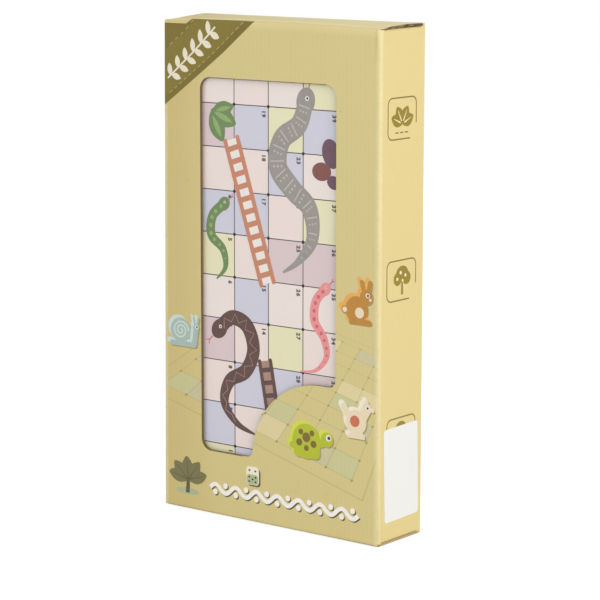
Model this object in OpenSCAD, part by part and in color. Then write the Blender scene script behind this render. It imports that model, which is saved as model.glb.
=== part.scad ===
// Boxed travel board game: a folding wooden board case in a tuck-end corrugated carton with a window.
// Millimetres. +Z is up, the printed front faces -Y and the origin is at the middle of the carton's foot.

/* [Board case] */
// Width of the folded case, hinge side to clasp side
case_w = 150; // [130:0.5:180]
// Height of the case as it stands in the carton
case_h = 300; // [260:1:340]
// Thickness of each wooden rail
rail_t = 8; // [7:0.5:10]
// Depth of the rails in one half of the case
rail_d = 14.9; // [12:0.1:20]
// Thickness of the plywood panel that closes each half
ply_t = 3; // [2:0.1:5]
// Thickness of the printed sheet on each half
print_t = 0.3; // [0.2:0.05:1]
// Seam between the two closed halves
seam = 0.2; // [0.1:0.05:0.5]

/* [Carton] */
// Thickness of the corrugated board
wall_t = 1.5; // [1.2:0.05:1.8]
// Outer radius of a crease
crease_r = 2; // [1.85:0.05:2.6]
// Space in front of the case
front_gap = 0.8; // [0.4:0.1:2]
// Space behind the case, for the tuck tongues
back_gap = 3.6; // [3.4:0.1:6]
// Space beside the clasp
left_gap = 8.7; // [7.5:0.1:14]
// Space beside the hinges
right_gap = 3.7; // [2.8:0.1:8]
// Play between a lid, a dust flap and the case
flap_gap = 0.1; // [0.05:0.05:0.5]
// Overlap of the glued joint inside the left panel
glue_flap_w = 25; // [15:0.5:32]
// Distance of the glued joint's ends from the carton's ends
glue_flap_inset = 8; // [6:0.5:20]

/* [Lids] */
// Distance of a lid's side edges from the carton's sides
lid_inset = 0.8; // [0.5:0.1:2]
// Gap between a lid's tucked edge and the back panel
tuck_gap = 0.7; // [0.4:0.05:1]
// Length of a tuck tongue past its crease
tongue_l = 8; // [6:0.5:9]
// Lean of a tucked tongue towards the case, in degrees
tongue_lean = 8; // [7:0.5:10]
// Distance of a tongue's ends from the carton's sides
tongue_inset = 6; // [4:0.5:12]
// Radius of a tongue's corners
tongue_r = 5; // [2:0.5:5.5]
// Length of a dust flap past its crease
flap_l = 30; // [20:1:40]
// Distance of a dust flap's crease from the lid's crease
flap_front = 1; // [0.8:0.1:4]
// Distance of a dust flap from the inside of the back panel
flap_back = 4; // [3.5:0.1:8]
// Slope of the side of a dust flap that faces the lid's crease, in degrees
flap_slope = 32; // [30:1:36]
// Slope of the side of a dust flap that faces the tongue, in degrees
flap_back_slope = 3; // [0:0.5:6]
// Radius of the thumb notches in the back panel
notch_r = 8.5; // [6:0.5:12]
// Sideways place of the thumb notches, from the middle
notch_shift = -11.5; // [-30:0.5:30]

/* [Window] */
// Distance of the window from the carton's left side
window_left = 29.8; // [20:0.1:36]
// Distance of the window from the carton's right side
window_right = 32; // [26:0.1:40]
// Distance of the window from the carton's foot
window_foot = 40.8; // [25:0.1:60]
// Distance of the window from the carton's top
window_top = 33.8; // [24:0.1:50]
// Radius of the window's corners
window_r = 7; // [3:0.5:12]
// Radius of the rounded tab in the window's lower right corner
tab_r = 51.6; // [30:0.1:60]
// How far the tab's middle stands left of the window's right edge
tab_side = 12; // [8:0.1:16]
// Radius of the fillets at the tab's ends
tab_fillet = 4.5; // [2:0.1:7]

/* [Label] */
// Width of the blank label on the right side
label_w = 33.5; // [20:0.5:36]
// Height of the label
label_h = 57; // [30:0.5:80]
// Thickness of the label
label_t = 0.12; // [0.08:0.01:0.3]
// Distance of the label's foot from the carton's foot
label_foot = 12.5; // [8:0.5:60]
// Distance of the label's middle behind the carton's middle
label_shift = 1.9; // [-3:0.1:3]
// Tilt of the label, in degrees
label_tilt = 1.4; // [-3:0.1:3]
// Radius of the label's corners
label_r = 2; // [0.5:0.1:4]

/* [Hinges] */
// Length of each butt hinge
hinge_l = 30; // [24:1:45]
// Distance of a hinge's middle from the nearer end of the case
hinge_place = 55; // [40:1:90]
// Width of a hinge leaf from the pin's axis
leaf_w = 7; // [6:0.1:7]
// Thickness of a hinge leaf
leaf_t = 0.8; // [0.6:0.05:1.2]
// Outer radius of a hinge knuckle
knuckle_r = 2; // [1.8:0.05:2.5]
// Number of knuckles on a hinge
knuckle_count = 5; // [3:2:7]
// Radius of a hinge pin
pin_r = 1; // [0.8:0.05:1.2]
// Radius of a leaf screw
leaf_screw_r = 0.9; // [0.7:0.05:1.1]
// Length of a leaf screw
leaf_screw_l = 8; // [5:0.5:10]
// Radius of a leaf screw's head
leaf_head_r = 1.7; // [1.5:0.05:1.9]
// Distance between the two screws of a leaf
leaf_screw_pitch = 18; // [12:0.5:20]

/* [Clasp] */
// Distance from the clasp's pivot to its stud
clasp_reach = 16; // [14:0.5:20]
// Thickness of the hook
hook_t = 1.2; // [0.8:0.1:1.6]
// Width of the hook's arm
hook_w = 5; // [4:0.5:6]
// Radius of the hook's eye and nose
hook_end_r = 4.2; // [3.6:0.1:5]
// Length of the finger tab past the stud
hook_tab = 7.5; // [6:0.5:10]
// Radius of the pivot's shoulder and of the stud's neck
neck_r = 1.5; // [1.2:0.05:1.8]
// Radius of the clasp screws in the wood
clasp_screw_r = 1.2; // [0.8:0.05:1.4]
// Length of the clasp screws in the wood
clasp_screw_l = 6; // [4:0.5:6.5]
// Radius of the pivot's and the stud's heads
clasp_head_r = 2.8; // [2.2:0.1:3.4]
// Height of those heads
clasp_head_h = 1.2; // [0.8:0.1:1.6]
// Height of the collar under the hook
collar_h = 0.4; // [0.3:0.05:0.8]

/* [Contents] */
// Height of a wooden token
token_h = 34; // [26:1:44]
// Thickness of a wooden token
token_t = 10; // [8:0.5:10]
// Edge of the die
die_w = 16; // [12:0.5:17]
// Radius of the die's corners in plan
die_r = 2.2; // [1:0.1:3]
// Radius of a pip
pip_r = 1.3; // [0.8:0.05:1.5]
// Depth of a pip
pip_d = 0.5; // [0.3:0.05:1]
// Width of the folded rules leaflet
leaflet_w = 105; // [90:1:125]
// Height of the rules leaflet
leaflet_h = 148; // [120:1:200]
// Thickness of the rules leaflet
leaflet_t = 0.5; // [0.3:0.1:1]

/* [Fits] */
// Radial clearance of a pin or shoulder in its bore
run_fit = 0.05; // [0.03:0.01:0.08]
// Clearance of a leaf in its recess and of a knuckle in its notch
seat_gap = 0.15; // [0.1:0.05:0.3]

/* [Hidden] */
$fn = 48;

// How far a cut runs past the face that it opens
overrun = 1;

// The case, then the carton that is made to fit it
half_d = print_t + ply_t + rail_d;
case_d = 2 * half_d + seam;
end_space = 2 * wall_t + 2 * flap_gap;
carton_w = case_w + left_gap + right_gap + 2 * wall_t;
carton_d = case_d + front_gap + back_gap + 2 * wall_t;
carton_h = case_h + 2 * end_space;
case_x = wall_t + left_gap;
case_y = wall_t + front_gap;
case_z = end_space;

// Places across the carton, from its left front foot
side_top = carton_h - wall_t - flap_gap;
side_foot = wall_t + flap_gap;
tuck_y = carton_d - wall_t - tuck_gap;
flap_y0 = crease_r + flap_front;
flap_y1 = carton_d - wall_t - flap_back;
notch_x = carton_w / 2 + notch_shift;
window_w = carton_w - window_left - window_right;
window_h = carton_h - window_foot - window_top;

// Places in the case, from its own left front foot
mid_y = case_d / 2;
inner_y = print_t + ply_t;
side_rail_h = case_h - 2 * rail_t;
lower_hinge_z = hinge_place;
upper_hinge_z = case_h - hinge_place;
knuckle_l = hinge_l / knuckle_count;
leaf_screw_x = case_w - (leaf_w + knuckle_r) / 2;
clasp_z = case_h / 2;
stud_y = mid_y - clasp_reach / 2;
pivot_y = mid_y + clasp_reach / 2;
neck_l = collar_h + hook_t + seat_gap;

// Places of the tokens and the die, as shares of the inside width and depth of the case
inside_w = case_w - 2 * rail_t;
inside_d = case_d - 2 * inner_y;
turtle_share = [0.04, 0.06];
rabbit_share = [0.36, 0.06];
snail_share = [0.08, 0.56];
hen_share = [0.42, 0.56];
die_share = [0.82, 0.2];

// Token outlines as shares of the token's height: discs are [x, z, radius], bars are [x, z, x, z, half width]
turtle_disc_shares = [[0.46, 0.34, 0.36], [0.98, 0.44, 0.15], [0.1, 0.22, 0.07]];
turtle_bar_shares = [[0.72, 0.3, 0.96, 0.4, 0.08], [0.24, 0.1, 0.24, 0.2, 0.1], [0.7, 0.1, 0.7, 0.2, 0.1]];
rabbit_disc_shares = [[0.42, 0.32, 0.3], [0.68, 0.62, 0.17], [0.1, 0.3, 0.09]];
rabbit_bar_shares = [[0.64, 0.7, 0.56, 0.94, 0.055], [0.74, 0.7, 0.78, 0.94, 0.055], [0.3, 0.06, 0.76, 0.06, 0.06]];
snail_disc_shares = [[0.4, 0.44, 0.34], [0.92, 0.56, 0.1]];
snail_bar_shares = [[0.1, 0.07, 0.86, 0.07, 0.07], [0.86, 0.1, 0.92, 0.52, 0.08],
    [0.9, 0.6, 0.84, 0.82, 0.03], [0.95, 0.6, 1, 0.82, 0.03]];
hen_disc_shares = [[0.46, 0.4, 0.3], [0.76, 0.76, 0.14], [0.76, 0.91, 0.06]];
hen_bar_shares = [[0.62, 0.5, 0.76, 0.74, 0.13], [0.28, 0.46, 0.1, 0.74, 0.09], [0.86, 0.74, 0.95, 0.72, 0.035],
    [0.34, 0.07, 0.62, 0.07, 0.07]];
// Width of the flat foot under a token and its height, as shares of the token's height
foot_share = [0.22, 0.72, 0.1];

// Pips on the six faces of the die, as shares of its edge from the middle of the face
pip_share = 0.25;
pip_rows = [
    [[0, 0]],
    [[-1, -1], [1, 1]],
    [[-1, -1], [0, 0], [1, 1]],
    [[-1, -1], [1, -1], [-1, 1], [1, 1]],
    [[-1, -1], [1, -1], [0, 0], [-1, 1], [1, 1]],
    [[-1, -1], [1, -1], [-1, 0], [1, 0], [-1, 1], [1, 1]],
];
die_turns = [[0, 0, 0], [90, 0, 0], [0, 90, 0], [0, -90, 0], [-90, 0, 0], [180, 0, 0]];

khaki = [0.83, 0.78, 0.55];
kraft = [0.72, 0.58, 0.42];
birch = [0.88, 0.78, 0.62];
paper = [0.9, 0.87, 0.86];
brass = [0.8, 0.64, 0.32];

// Shapes that several pieces share

module rounded_square(w, d, r) {
    translate([r, 0]) square([w - 2 * r, d]);
    translate([0, r]) square([w, d - 2 * r]);
    for (x = [r, w - r], y = [r, d - r]) translate([x, y]) circle(r);
}

// Bent corner of the corrugated board: the wall comes up at x = 0 and turns to +x along y = 0
module bend() {
    difference() {
        intersection() {
            translate([0, -crease_r]) square(crease_r);
            translate([crease_r, -crease_r]) circle(crease_r);
        }
        translate([wall_t, -crease_r]) square(crease_r - wall_t);
    }
}

// A drawing in the plane of y and z, run along +x
module along_x(l) {
    rotate([90, 0, 90]) linear_extrude(l) children();
}

// A drawing in the plane of x and z, run along +y
module along_y(l) {
    translate([0, l, 0]) rotate([90, 0, 0]) linear_extrude(l) children();
}

// Everything is drawn from the carton's left front foot and then centred
module place() {
    translate([-carton_w / 2, -carton_d / 2, 0]) children();
}

module in_case() {
    place() translate([case_x, case_y, case_z]) children();
}

module upside_down() {
    translate([0, 0, carton_h]) mirror([0, 0, 1]) children();
}

module left_hand() {
    translate([carton_w, 0, 0]) mirror([1, 0, 0]) children();
}

// The back half of the case mirrors the front half
module back_half() {
    translate([0, case_d, 0]) mirror([0, 1, 0]) children();
}

module upper_half() {
    translate([0, 0, case_h]) mirror([0, 0, 1]) children();
}

// Carton

// The tube's outside, cut along the mitres so that the corner points run along one side
module panel_block(points) {
    linear_extrude(carton_h) intersection() {
        rounded_square(carton_w, carton_d, crease_r);
        polygon(points);
    }
}

module window_outline() {
    tab_x = window_w - tab_side;
    tab_left = tab_x - tab_r;
    difference() {
        rounded_square(window_w, window_h, window_r);
        translate([tab_x, 0]) circle(tab_r, $fn = 96);
        translate([tab_x, 0]) square([tab_side, tab_r]);
        fillet(window_w, tab_r, -1);
        fillet(tab_left, 0, -1);
    }
}

// Corner filling with its point at x, y and its hollow side up, towards +x or -x
module fillet(x, y, way) {
    translate([x, y]) difference() {
        translate([way < 0 ? -tab_fillet : 0, 0]) square(tab_fillet);
        translate([way * tab_fillet, tab_fillet]) circle(tab_fillet);
    }
}

module front_panel() {
    color(khaki) place() difference() {
        intersection() {
            panel_block([[0, 0], [crease_r, crease_r], [carton_w - crease_r, crease_r], [carton_w, 0]]);
            along_x(carton_w) {
                translate([0, crease_r]) square([wall_t, carton_h - 2 * crease_r]);
                translate([0, carton_h]) bend();
                mirror([0, 1]) bend();
            }
        }
        translate([window_left, -overrun, window_foot]) along_y(wall_t + 2 * overrun) window_outline();
    }
}

module back_panel() {
    color(khaki) place() difference() {
        intersection() {
            panel_block([[0, carton_d], [crease_r, carton_d - crease_r],
                [carton_w - crease_r, carton_d - crease_r], [carton_w, carton_d]]);
            translate([0, carton_d - wall_t, 0]) cube([carton_w, wall_t, carton_h]);
        }
        for (z = [0, carton_h]) translate([notch_x, carton_d - wall_t - overrun, z])
            along_y(wall_t + 2 * overrun) circle(notch_r);
    }
}

// Right side with the bends that carry its dust flaps; its raw edges stand just clear of the lids
module side_panel() {
    intersection() {
        panel_block([[carton_w, 0], [carton_w - crease_r, crease_r],
            [carton_w - crease_r, carton_d - crease_r], [carton_w, carton_d]]);
        union() {
            translate([carton_w - wall_t, 0, side_foot + crease_r])
                cube([wall_t, carton_d, side_top - side_foot - 2 * crease_r]);
            for (end = [0, 1]) translate([0, 0, end * carton_h]) mirror([0, 0, end]) {
                for (y = [[0, flap_y0], [flap_y1, carton_d]])
                    translate([carton_w - wall_t, y[0], side_foot]) cube([wall_t, y[1] - y[0], crease_r]);
                translate([carton_w, flap_y0, side_foot]) along_y(flap_y1 - flap_y0) rotate([0, 0, 180]) bend();
            }
        }
    }
}

module right_panel() {
    color(khaki) place() side_panel();
}

module left_panel() {
    color(khaki) place() left_hand() side_panel();
}

module glue_flap() {
    flap_h = carton_h - 2 * glue_flap_inset;
    color(kraft) place() translate([wall_t, carton_d - wall_t - glue_flap_w, glue_flap_inset]) along_x(wall_t)
        polygon([[0, glue_flap_inset], [glue_flap_w, 0], [glue_flap_w, flap_h], [0, flap_h - glue_flap_inset]]);
}

module lid() {
    lid_w = carton_w - 2 * lid_inset;
    tongue_w = carton_w - 2 * tongue_inset;
    difference() {
        translate([lid_inset, crease_r, carton_h - wall_t]) cube([lid_w, tuck_y - crease_r, wall_t]);
        translate([tongue_inset, tuck_y - crease_r, carton_h - crease_r])
            cube([tongue_w, crease_r + overrun, crease_r + overrun]);
    }
    translate([tongue_inset, tuck_y, carton_h]) along_x(tongue_w) mirror([1, 0]) bend();
}

module tongue() {
    tongue_w = carton_w - 2 * tongue_inset;
    translate([tongue_inset, tuck_y, carton_h - crease_r]) intersection() {
        rotate([-tongue_lean, 0, 0]) translate([0, -wall_t, -tongue_l]) along_y(wall_t) {
            translate([0, tongue_r]) square([tongue_w, tongue_l - tongue_r + wall_t]);
            translate([tongue_r, 0]) square([tongue_w - 2 * tongue_r, tongue_l]);
            for (x = [tongue_r, tongue_w - tongue_r]) translate([x, tongue_r]) circle(tongue_r);
        }
        translate([0, -carton_d / 2, -carton_h / 2]) cube([tongue_w, carton_d, carton_h / 2]);
    }
}

module dust_flap() {
    translate([carton_w - crease_r, 0, side_top - wall_t]) linear_extrude(wall_t) polygon([
        [0, flap_y0], [0, flap_y1],
        [-flap_l, flap_y1 - flap_l * tan(flap_back_slope)], [-flap_l, flap_y0 + flap_l * tan(flap_slope)],
    ]);
}

module top_lid() { color(khaki) place() lid(); }
module top_tongue() { color(khaki) place() tongue(); }
module top_dust_flap_right() { color(kraft) place() dust_flap(); }
module top_dust_flap_left() { color(kraft) place() left_hand() dust_flap(); }
module bottom_lid() { color(khaki) place() upside_down() lid(); }
module bottom_tongue() { color(khaki) place() upside_down() tongue(); }
module bottom_dust_flap_right() { color(kraft) place() upside_down() dust_flap(); }
module bottom_dust_flap_left() { color(kraft) place() upside_down() left_hand() dust_flap(); }

module blank_label() {
    color("white") place()
        translate([carton_w, carton_d / 2 + label_shift, label_foot + label_h / 2]) along_x(label_t)
            rotate([0, 0, label_tilt]) translate([-label_w / 2, -label_h / 2])
                rounded_square(label_w, label_h, label_r);
}

// Folding board case

module board_print() {
    cube([case_w, print_t, case_h]);
}

module board_panel() {
    translate([0, print_t, 0]) cube([case_w, ply_t, case_h]);
}

module end_rail() {
    translate([0, inner_y, 0]) cube([case_w, rail_d, rail_t]);
}

module hinge_rail() {
    difference() {
        translate([case_w - rail_t, inner_y, rail_t]) cube([rail_t, rail_d, side_rail_h]);
        for (z = [lower_hinge_z, upper_hinge_z]) translate([0, 0, z]) {
            recess_l = hinge_l + 2 * seat_gap;
            translate([case_w - leaf_w - seat_gap, half_d - leaf_t, -recess_l / 2])
                cube([leaf_w + seat_gap + overrun, leaf_t + overrun, recess_l]);
            translate([case_w, mid_y, -recess_l / 2]) cylinder(r = knuckle_r + seat_gap, h = recess_l);
            leaf_screw_places() screw_hole();
        }
    }
}

module clasp_rail(fixing_y) {
    difference() {
        translate([0, inner_y, rail_t]) cube([rail_t, rail_d, side_rail_h]);
        translate([-overrun, fixing_y, clasp_z]) rotate([0, 90, 0])
            cylinder(r = clasp_screw_r + run_fit, h = clasp_screw_l + run_fit + overrun);
    }
}

module leaf_screw_places() {
    for (side = [-1, 1]) translate([leaf_screw_x, half_d, side * leaf_screw_pitch / 2]) rotate([90, 0, 0]) children();
}

module screw_hole() {
    translate([0, 0, -overrun]) cylinder(r = leaf_screw_r + run_fit, h = leaf_screw_l + run_fit + overrun);
}

// Front leaf of a hinge about z = 0; its knuckles are the even ones, and the back leaf's the odd ones
module hinge_leaf(own, other) {
    difference() {
        union() {
            translate([case_w - leaf_w, half_d - leaf_t, -hinge_l / 2]) cube([leaf_w, leaf_t, hinge_l]);
            translate([case_w, mid_y, 0]) knuckles(own, knuckle_r, 0);
        }
        translate([case_w, mid_y, 0]) {
            knuckles(other, knuckle_r + seat_gap, seat_gap);
            cylinder(r = pin_r + run_fit, h = hinge_l + 2 * overrun, center = true);
        }
        leaf_screw_places() {
            screw_hole();
            translate([0, 0, -run_fit]) cylinder(r1 = leaf_head_r + run_fit, r2 = leaf_screw_r + run_fit, h = leaf_t);
        }
    }
}

module knuckles(first, r, grow) {
    for (i = [first : 2 : knuckle_count - 1])
        translate([0, 0, i * knuckle_l - hinge_l / 2 - grow / 2]) cylinder(r = r, h = knuckle_l + grow);
}

module front_leaf() {
    hinge_leaf(0, 1);
}

module back_leaf() {
    back_half() hinge_leaf(1, 0);
}

module hinge_pin() {
    translate([case_w, mid_y, 0]) cylinder(r = pin_r, h = hinge_l, center = true);
}

module leaf_screws() {
    for (z = [lower_hinge_z, upper_hinge_z]) translate([0, 0, z]) leaf_screw_places() {
        cylinder(r = leaf_screw_r, h = leaf_screw_l);
        cylinder(r1 = leaf_head_r, r2 = leaf_screw_r, h = leaf_t);
    }
}

module front_board_print() { color(paper) in_case() board_print(); }
module front_board_panel() { color(birch) in_case() board_panel(); }
module front_bottom_rail() { color(birch) in_case() end_rail(); }
module front_top_rail() { color(birch) in_case() upper_half() end_rail(); }
module front_hinge_rail() { color(birch) in_case() hinge_rail(); }
module front_clasp_rail() { color(birch) in_case() clasp_rail(stud_y); }
module back_board_print() { color(paper) in_case() back_half() board_print(); }
module back_board_panel() { color(birch) in_case() back_half() board_panel(); }
module back_bottom_rail() { color(birch) in_case() back_half() end_rail(); }
module back_top_rail() { color(birch) in_case() back_half() upper_half() end_rail(); }
module back_hinge_rail() { color(birch) in_case() back_half() hinge_rail(); }
module back_clasp_rail() { color(birch) in_case() back_half() clasp_rail(case_d - pivot_y); }

module upper_hinge_front_leaf() { color(brass) in_case() translate([0, 0, upper_hinge_z]) front_leaf(); }
module upper_hinge_back_leaf() { color(brass) in_case() translate([0, 0, upper_hinge_z]) back_leaf(); }
module upper_hinge_pin() { color(brass) in_case() translate([0, 0, upper_hinge_z]) hinge_pin(); }
module lower_hinge_front_leaf() { color(brass) in_case() translate([0, 0, lower_hinge_z]) front_leaf(); }
module lower_hinge_back_leaf() { color(brass) in_case() translate([0, 0, lower_hinge_z]) back_leaf(); }
module lower_hinge_pin() { color(brass) in_case() translate([0, 0, lower_hinge_z]) hinge_pin(); }
module front_leaf_screws() { color(brass) in_case() leaf_screws(); }
module back_leaf_screws() { color(brass) in_case() back_half() leaf_screws(); }

// Clasp on the side away from the hinges: the hook turns on a shouldered screw and drops over a stud

module clasp_hook() {
    slot_r = neck_r + seat_gap;
    color(brass) in_case() translate([-collar_h - hook_t, pivot_y, clasp_z]) along_x(hook_t) difference() {
        union() {
            circle(hook_end_r);
            translate([-clasp_reach, 0]) circle(hook_end_r);
            translate([-clasp_reach - hook_tab, -hook_w / 4]) square([clasp_reach + hook_tab, hook_w / 2]);
            translate([-clasp_reach, -hook_w / 2]) square([clasp_reach, hook_w]);
            translate([-clasp_reach - hook_tab, 0]) circle(hook_w / 2);
        }
        circle(neck_r + run_fit);
        translate([-clasp_reach, 0]) circle(slot_r);
        intersection() {
            difference() {
                circle(clasp_reach + slot_r, $fn = 96);
                circle(clasp_reach - slot_r, $fn = 96);
            }
            translate([-2 * clasp_reach, -clasp_reach]) square(clasp_reach * [2, 1]);
        }
    }
}

// Screw with a collar or none, a neck that the hook runs on and a flat head
module clasp_screw(y, collar_r) {
    in_case() translate([0, y, clasp_z]) rotate([0, -90, 0]) {
        translate([0, 0, -clasp_screw_l]) cylinder(r = clasp_screw_r, h = clasp_screw_l);
        cylinder(r = neck_r, h = neck_l);
        cylinder(r = collar_r, h = collar_h - seat_gap);
        translate([0, 0, neck_l]) cylinder(r = clasp_head_r, h = clasp_head_h);
    }
}

module clasp_pivot_screw() { color(brass) clasp_screw(pivot_y, clasp_head_r); }
module clasp_stud() { color(brass) clasp_screw(stud_y, clasp_head_r); }

// Contents, standing on the bottom rails

module token(discs, bars) {
    along_y(token_t) scale(token_h) intersection() {
        union() {
            for (disc = discs) translate([disc[0], disc[1]]) circle(disc[2]);
            for (bar = bars) bar(bar);
            translate([foot_share[0], 0]) square([foot_share[1] - foot_share[0], foot_share[2]]);
        }
        translate([-1, 0]) square([3, 2]);
    }
}

module bar(bar) {
    run = [bar[2] - bar[0], bar[3] - bar[1]];
    for (point = [[bar[0], bar[1]], [bar[2], bar[3]]]) translate(point) circle(bar[4]);
    translate([bar[0], bar[1]]) rotate(atan2(run[1], run[0])) translate([0, -bar[4]]) square([norm(run), 2 * bar[4]]);
}

module inside(share) {
    in_case() translate([rail_t + share[0] * inside_w, inner_y + share[1] * inside_d, rail_t]) children();
}

module turtle_token() { color("yellowgreen") inside(turtle_share) token(turtle_disc_shares, turtle_bar_shares); }
module rabbit_token() { color("peru") inside(rabbit_share) token(rabbit_disc_shares, rabbit_bar_shares); }
module snail_token() { color("lightblue") inside(snail_share) token(snail_disc_shares, snail_bar_shares); }
module hen_token() { color("ivory") inside(hen_share) token(hen_disc_shares, hen_bar_shares); }

module wooden_die() {
    color(birch) inside(die_share) difference() {
        linear_extrude(die_w) rounded_square(die_w, die_w, die_r);
        translate(die_w / 2 * [1, 1, 1]) for (face = [0 : len(die_turns) - 1]) rotate(die_turns[face])
            for (pip = pip_rows[face]) translate([pip_share * die_w * pip[0], pip_share * die_w * pip[1],
                die_w / 2 - pip_d]) cylinder(r = pip_r, h = pip_d + overrun);
    }
}

module rules_leaflet() {
    color("white") in_case() translate([(case_w - leaflet_w) / 2, case_d - inner_y - leaflet_t, rail_t])
        cube([leaflet_w, leaflet_t, leaflet_h]);
}

front_panel();
right_panel();
back_panel();
left_panel();
glue_flap();
top_lid();
top_tongue();
top_dust_flap_left();
top_dust_flap_right();
bottom_lid();
bottom_tongue();
bottom_dust_flap_left();
bottom_dust_flap_right();
blank_label();
front_board_print();
front_board_panel();
front_top_rail();
front_bottom_rail();
front_hinge_rail();
front_clasp_rail();
back_board_print();
back_board_panel();
back_top_rail();
back_bottom_rail();
back_hinge_rail();
back_clasp_rail();
upper_hinge_front_leaf();
upper_hinge_back_leaf();
upper_hinge_pin();
lower_hinge_front_leaf();
lower_hinge_back_leaf();
lower_hinge_pin();
front_leaf_screws();
back_leaf_screws();
clasp_hook();
clasp_pivot_screw();
clasp_stud();
turtle_token();
rabbit_token();
snail_token();
hen_token();
wooden_die();
rules_leaflet();
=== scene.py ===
import math
from functools import reduce

import bmesh
import bpy
import numpy
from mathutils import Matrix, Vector, geometry


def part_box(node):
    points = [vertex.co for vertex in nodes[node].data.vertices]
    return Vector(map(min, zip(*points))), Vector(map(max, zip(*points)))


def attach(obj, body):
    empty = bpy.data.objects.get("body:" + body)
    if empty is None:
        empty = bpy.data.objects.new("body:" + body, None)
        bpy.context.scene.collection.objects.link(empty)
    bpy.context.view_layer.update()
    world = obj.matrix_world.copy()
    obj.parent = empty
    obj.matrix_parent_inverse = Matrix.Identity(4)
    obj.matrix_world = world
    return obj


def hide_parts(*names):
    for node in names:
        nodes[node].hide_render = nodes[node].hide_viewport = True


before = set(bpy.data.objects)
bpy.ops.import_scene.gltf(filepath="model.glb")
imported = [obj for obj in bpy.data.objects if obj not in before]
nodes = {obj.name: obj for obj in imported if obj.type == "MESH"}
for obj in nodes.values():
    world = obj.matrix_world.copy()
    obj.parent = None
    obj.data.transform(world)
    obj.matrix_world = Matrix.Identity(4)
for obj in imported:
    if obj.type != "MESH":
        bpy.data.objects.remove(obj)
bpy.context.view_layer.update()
mm = 0.001
root = "carton_and_board"

# Sizes that everything below is worked out from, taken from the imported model
frontLow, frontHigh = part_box("front_panel")
backLow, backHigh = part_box("back_panel")
sheetLow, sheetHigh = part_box("front_board_print")
left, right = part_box("left_panel")[0].x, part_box("right_panel")[1].x
front, back, top = frontLow.y, backHigh.y, frontHigh.z
wall = backHigh.y - backLow.y
boardFace, foldedFace = sheetLow.y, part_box("back_board_print")[1].y
# For what is printed: millimetres from the carton's left foot, and the radius of its creases
width, height, fold = (right - left) / mm, top / mm, (sheetHigh.x - left) / mm
crease = 2


# Camera, light and floor
view = {"place": (0.880697, -1.126036, 0.381773), "tip": 80.63, "turn": 38.33, "lens": 142.1,
        "sensor": 36, "shiftX": 0.0353, "shiftY": -0.0224}
lamps = {
    "key": {"place": (1.9, -0.75, 0.9), "size": 1.6, "watts": 27, "color": (1, 0.868, 0.805)},
    "fill": {"place": (-1.2, -1.9, 0.8), "size": 1.8, "watts": 5.4, "color": (0.95, 1, 0.99)},
    "rear": {"place": (-0.5, 1.9, 1.2), "size": 1.8, "watts": 10.5, "color": (1, 1, 1)},
}
surround = {"light": 0.56, "floorSize": 6, "floorDrop": 0.3 * mm, "floorColor": (0.92, 0.92, 0.92, 1),
            "floorRoughness": 0.9, "floorGlow": 1.47, "whiteShare": 0.5}


class Wire:
    # An output socket that adds, subtracts, multiplies and divides as a number does
    def __init__(self, tree, socket):
        self.tree, self.socket = tree, socket

    def __add__(self, other): return self.tree.maths("ADD", self, other)
    def __sub__(self, other): return self.tree.maths("SUBTRACT", self, other)
    def __rsub__(self, other): return self.tree.maths("SUBTRACT", other, self)
    def __mul__(self, other): return self.tree.maths("MULTIPLY", self, other)
    def __truediv__(self, other): return self.tree.maths("DIVIDE", self, other)
    def __abs__(self): return self.tree.maths("ABSOLUTE", self)
    def __lt__(self, other): return self.tree.maths("LESS_THAN", self, other)
    def __gt__(self, other): return self.tree.maths("GREATER_THAN", self, other)
    __radd__, __rmul__ = __add__, __mul__


class Tree:
    # Adds any node: what it is set to first, then the values or wires of its inputs
    def __init__(self, tree):
        self.tree = tree

    def node(self, kind, settings=None, inputs=None, out=0):
        made = self.tree.nodes.new(kind)
        for key, value in (settings or {}).items():
            setattr(made, key, value)
        for key, value in (inputs or {}).items():
            if isinstance(value, Wire):
                self.tree.links.new(value.socket, made.inputs[key])
            else:
                made.inputs[key].default_value = value
        return Wire(self, made.outputs[out])

    def maths(self, operation, *values):
        return self.node("ShaderNodeMath", {"operation": operation}, dict(enumerate(values)))

    def least(self, a, b): return self.maths("MINIMUM", a, b)
    def most(self, a, b): return self.maths("MAXIMUM", a, b)
    def wave(self, a): return self.maths("SINE", a)
    def floor(self, a): return self.maths("FLOOR", a)
    def isNear(self, a, b): return self.maths("COMPARE", a, b, 0.4)
    def remainder(self, a, b): return a - self.floor(a / b) * b
    def length(self, a, b): return self.maths("SQRT", a * a + b * b)

    def smooth(self, value, low, high):
        return self.node("ShaderNodeMapRange", {"interpolation_type": "SMOOTHSTEP"},
                         {"Value": value, "From Min": low, "From Max": high})

    def mix(self, share, a, b):
        return self.node("ShaderNodeMix", {"data_type": "RGBA"}, {0: share, 6: a, 7: b}, out=2)

    def over(self, color, *layers):
        # Each layer is a share and the colour that it brings
        for share, upper in layers:
            color = self.mix(share, color, upper)
        return color

    def noise(self, place, scale, detail, rough, stretch=None):
        if stretch:
            place = self.stretch(place, stretch)
        return self.node("ShaderNodeTexNoise", {},
                         {"Vector": place, "Scale": scale, "Detail": detail, "Roughness": rough})

    def stretch(self, vector, scale):
        return self.node("ShaderNodeMapping", {}, {"Vector": vector, "Scale": scale})

    def place(self): return self.node("ShaderNodeTexCoord", out="Object")
    def rest(self): return self.node("ShaderNodeAttribute", {"attribute_name": "rest"}, out="Vector")

    def split(self, vector):
        parts = self.node("ShaderNodeSeparateXYZ", {}, {0: vector}).socket.node
        return [Wire(self, parts.outputs[i]) for i in range(3)]


def srgb(r, g, b):
    # A colour as it is read off a screen, 0 to 255, made linear
    linear = [(c / 255 / 12.92) if c <= 10 else ((c / 255 + 0.055) / 1.055) ** 2.4 for c in (r, g, b)]
    return (*linear, 1)


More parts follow.
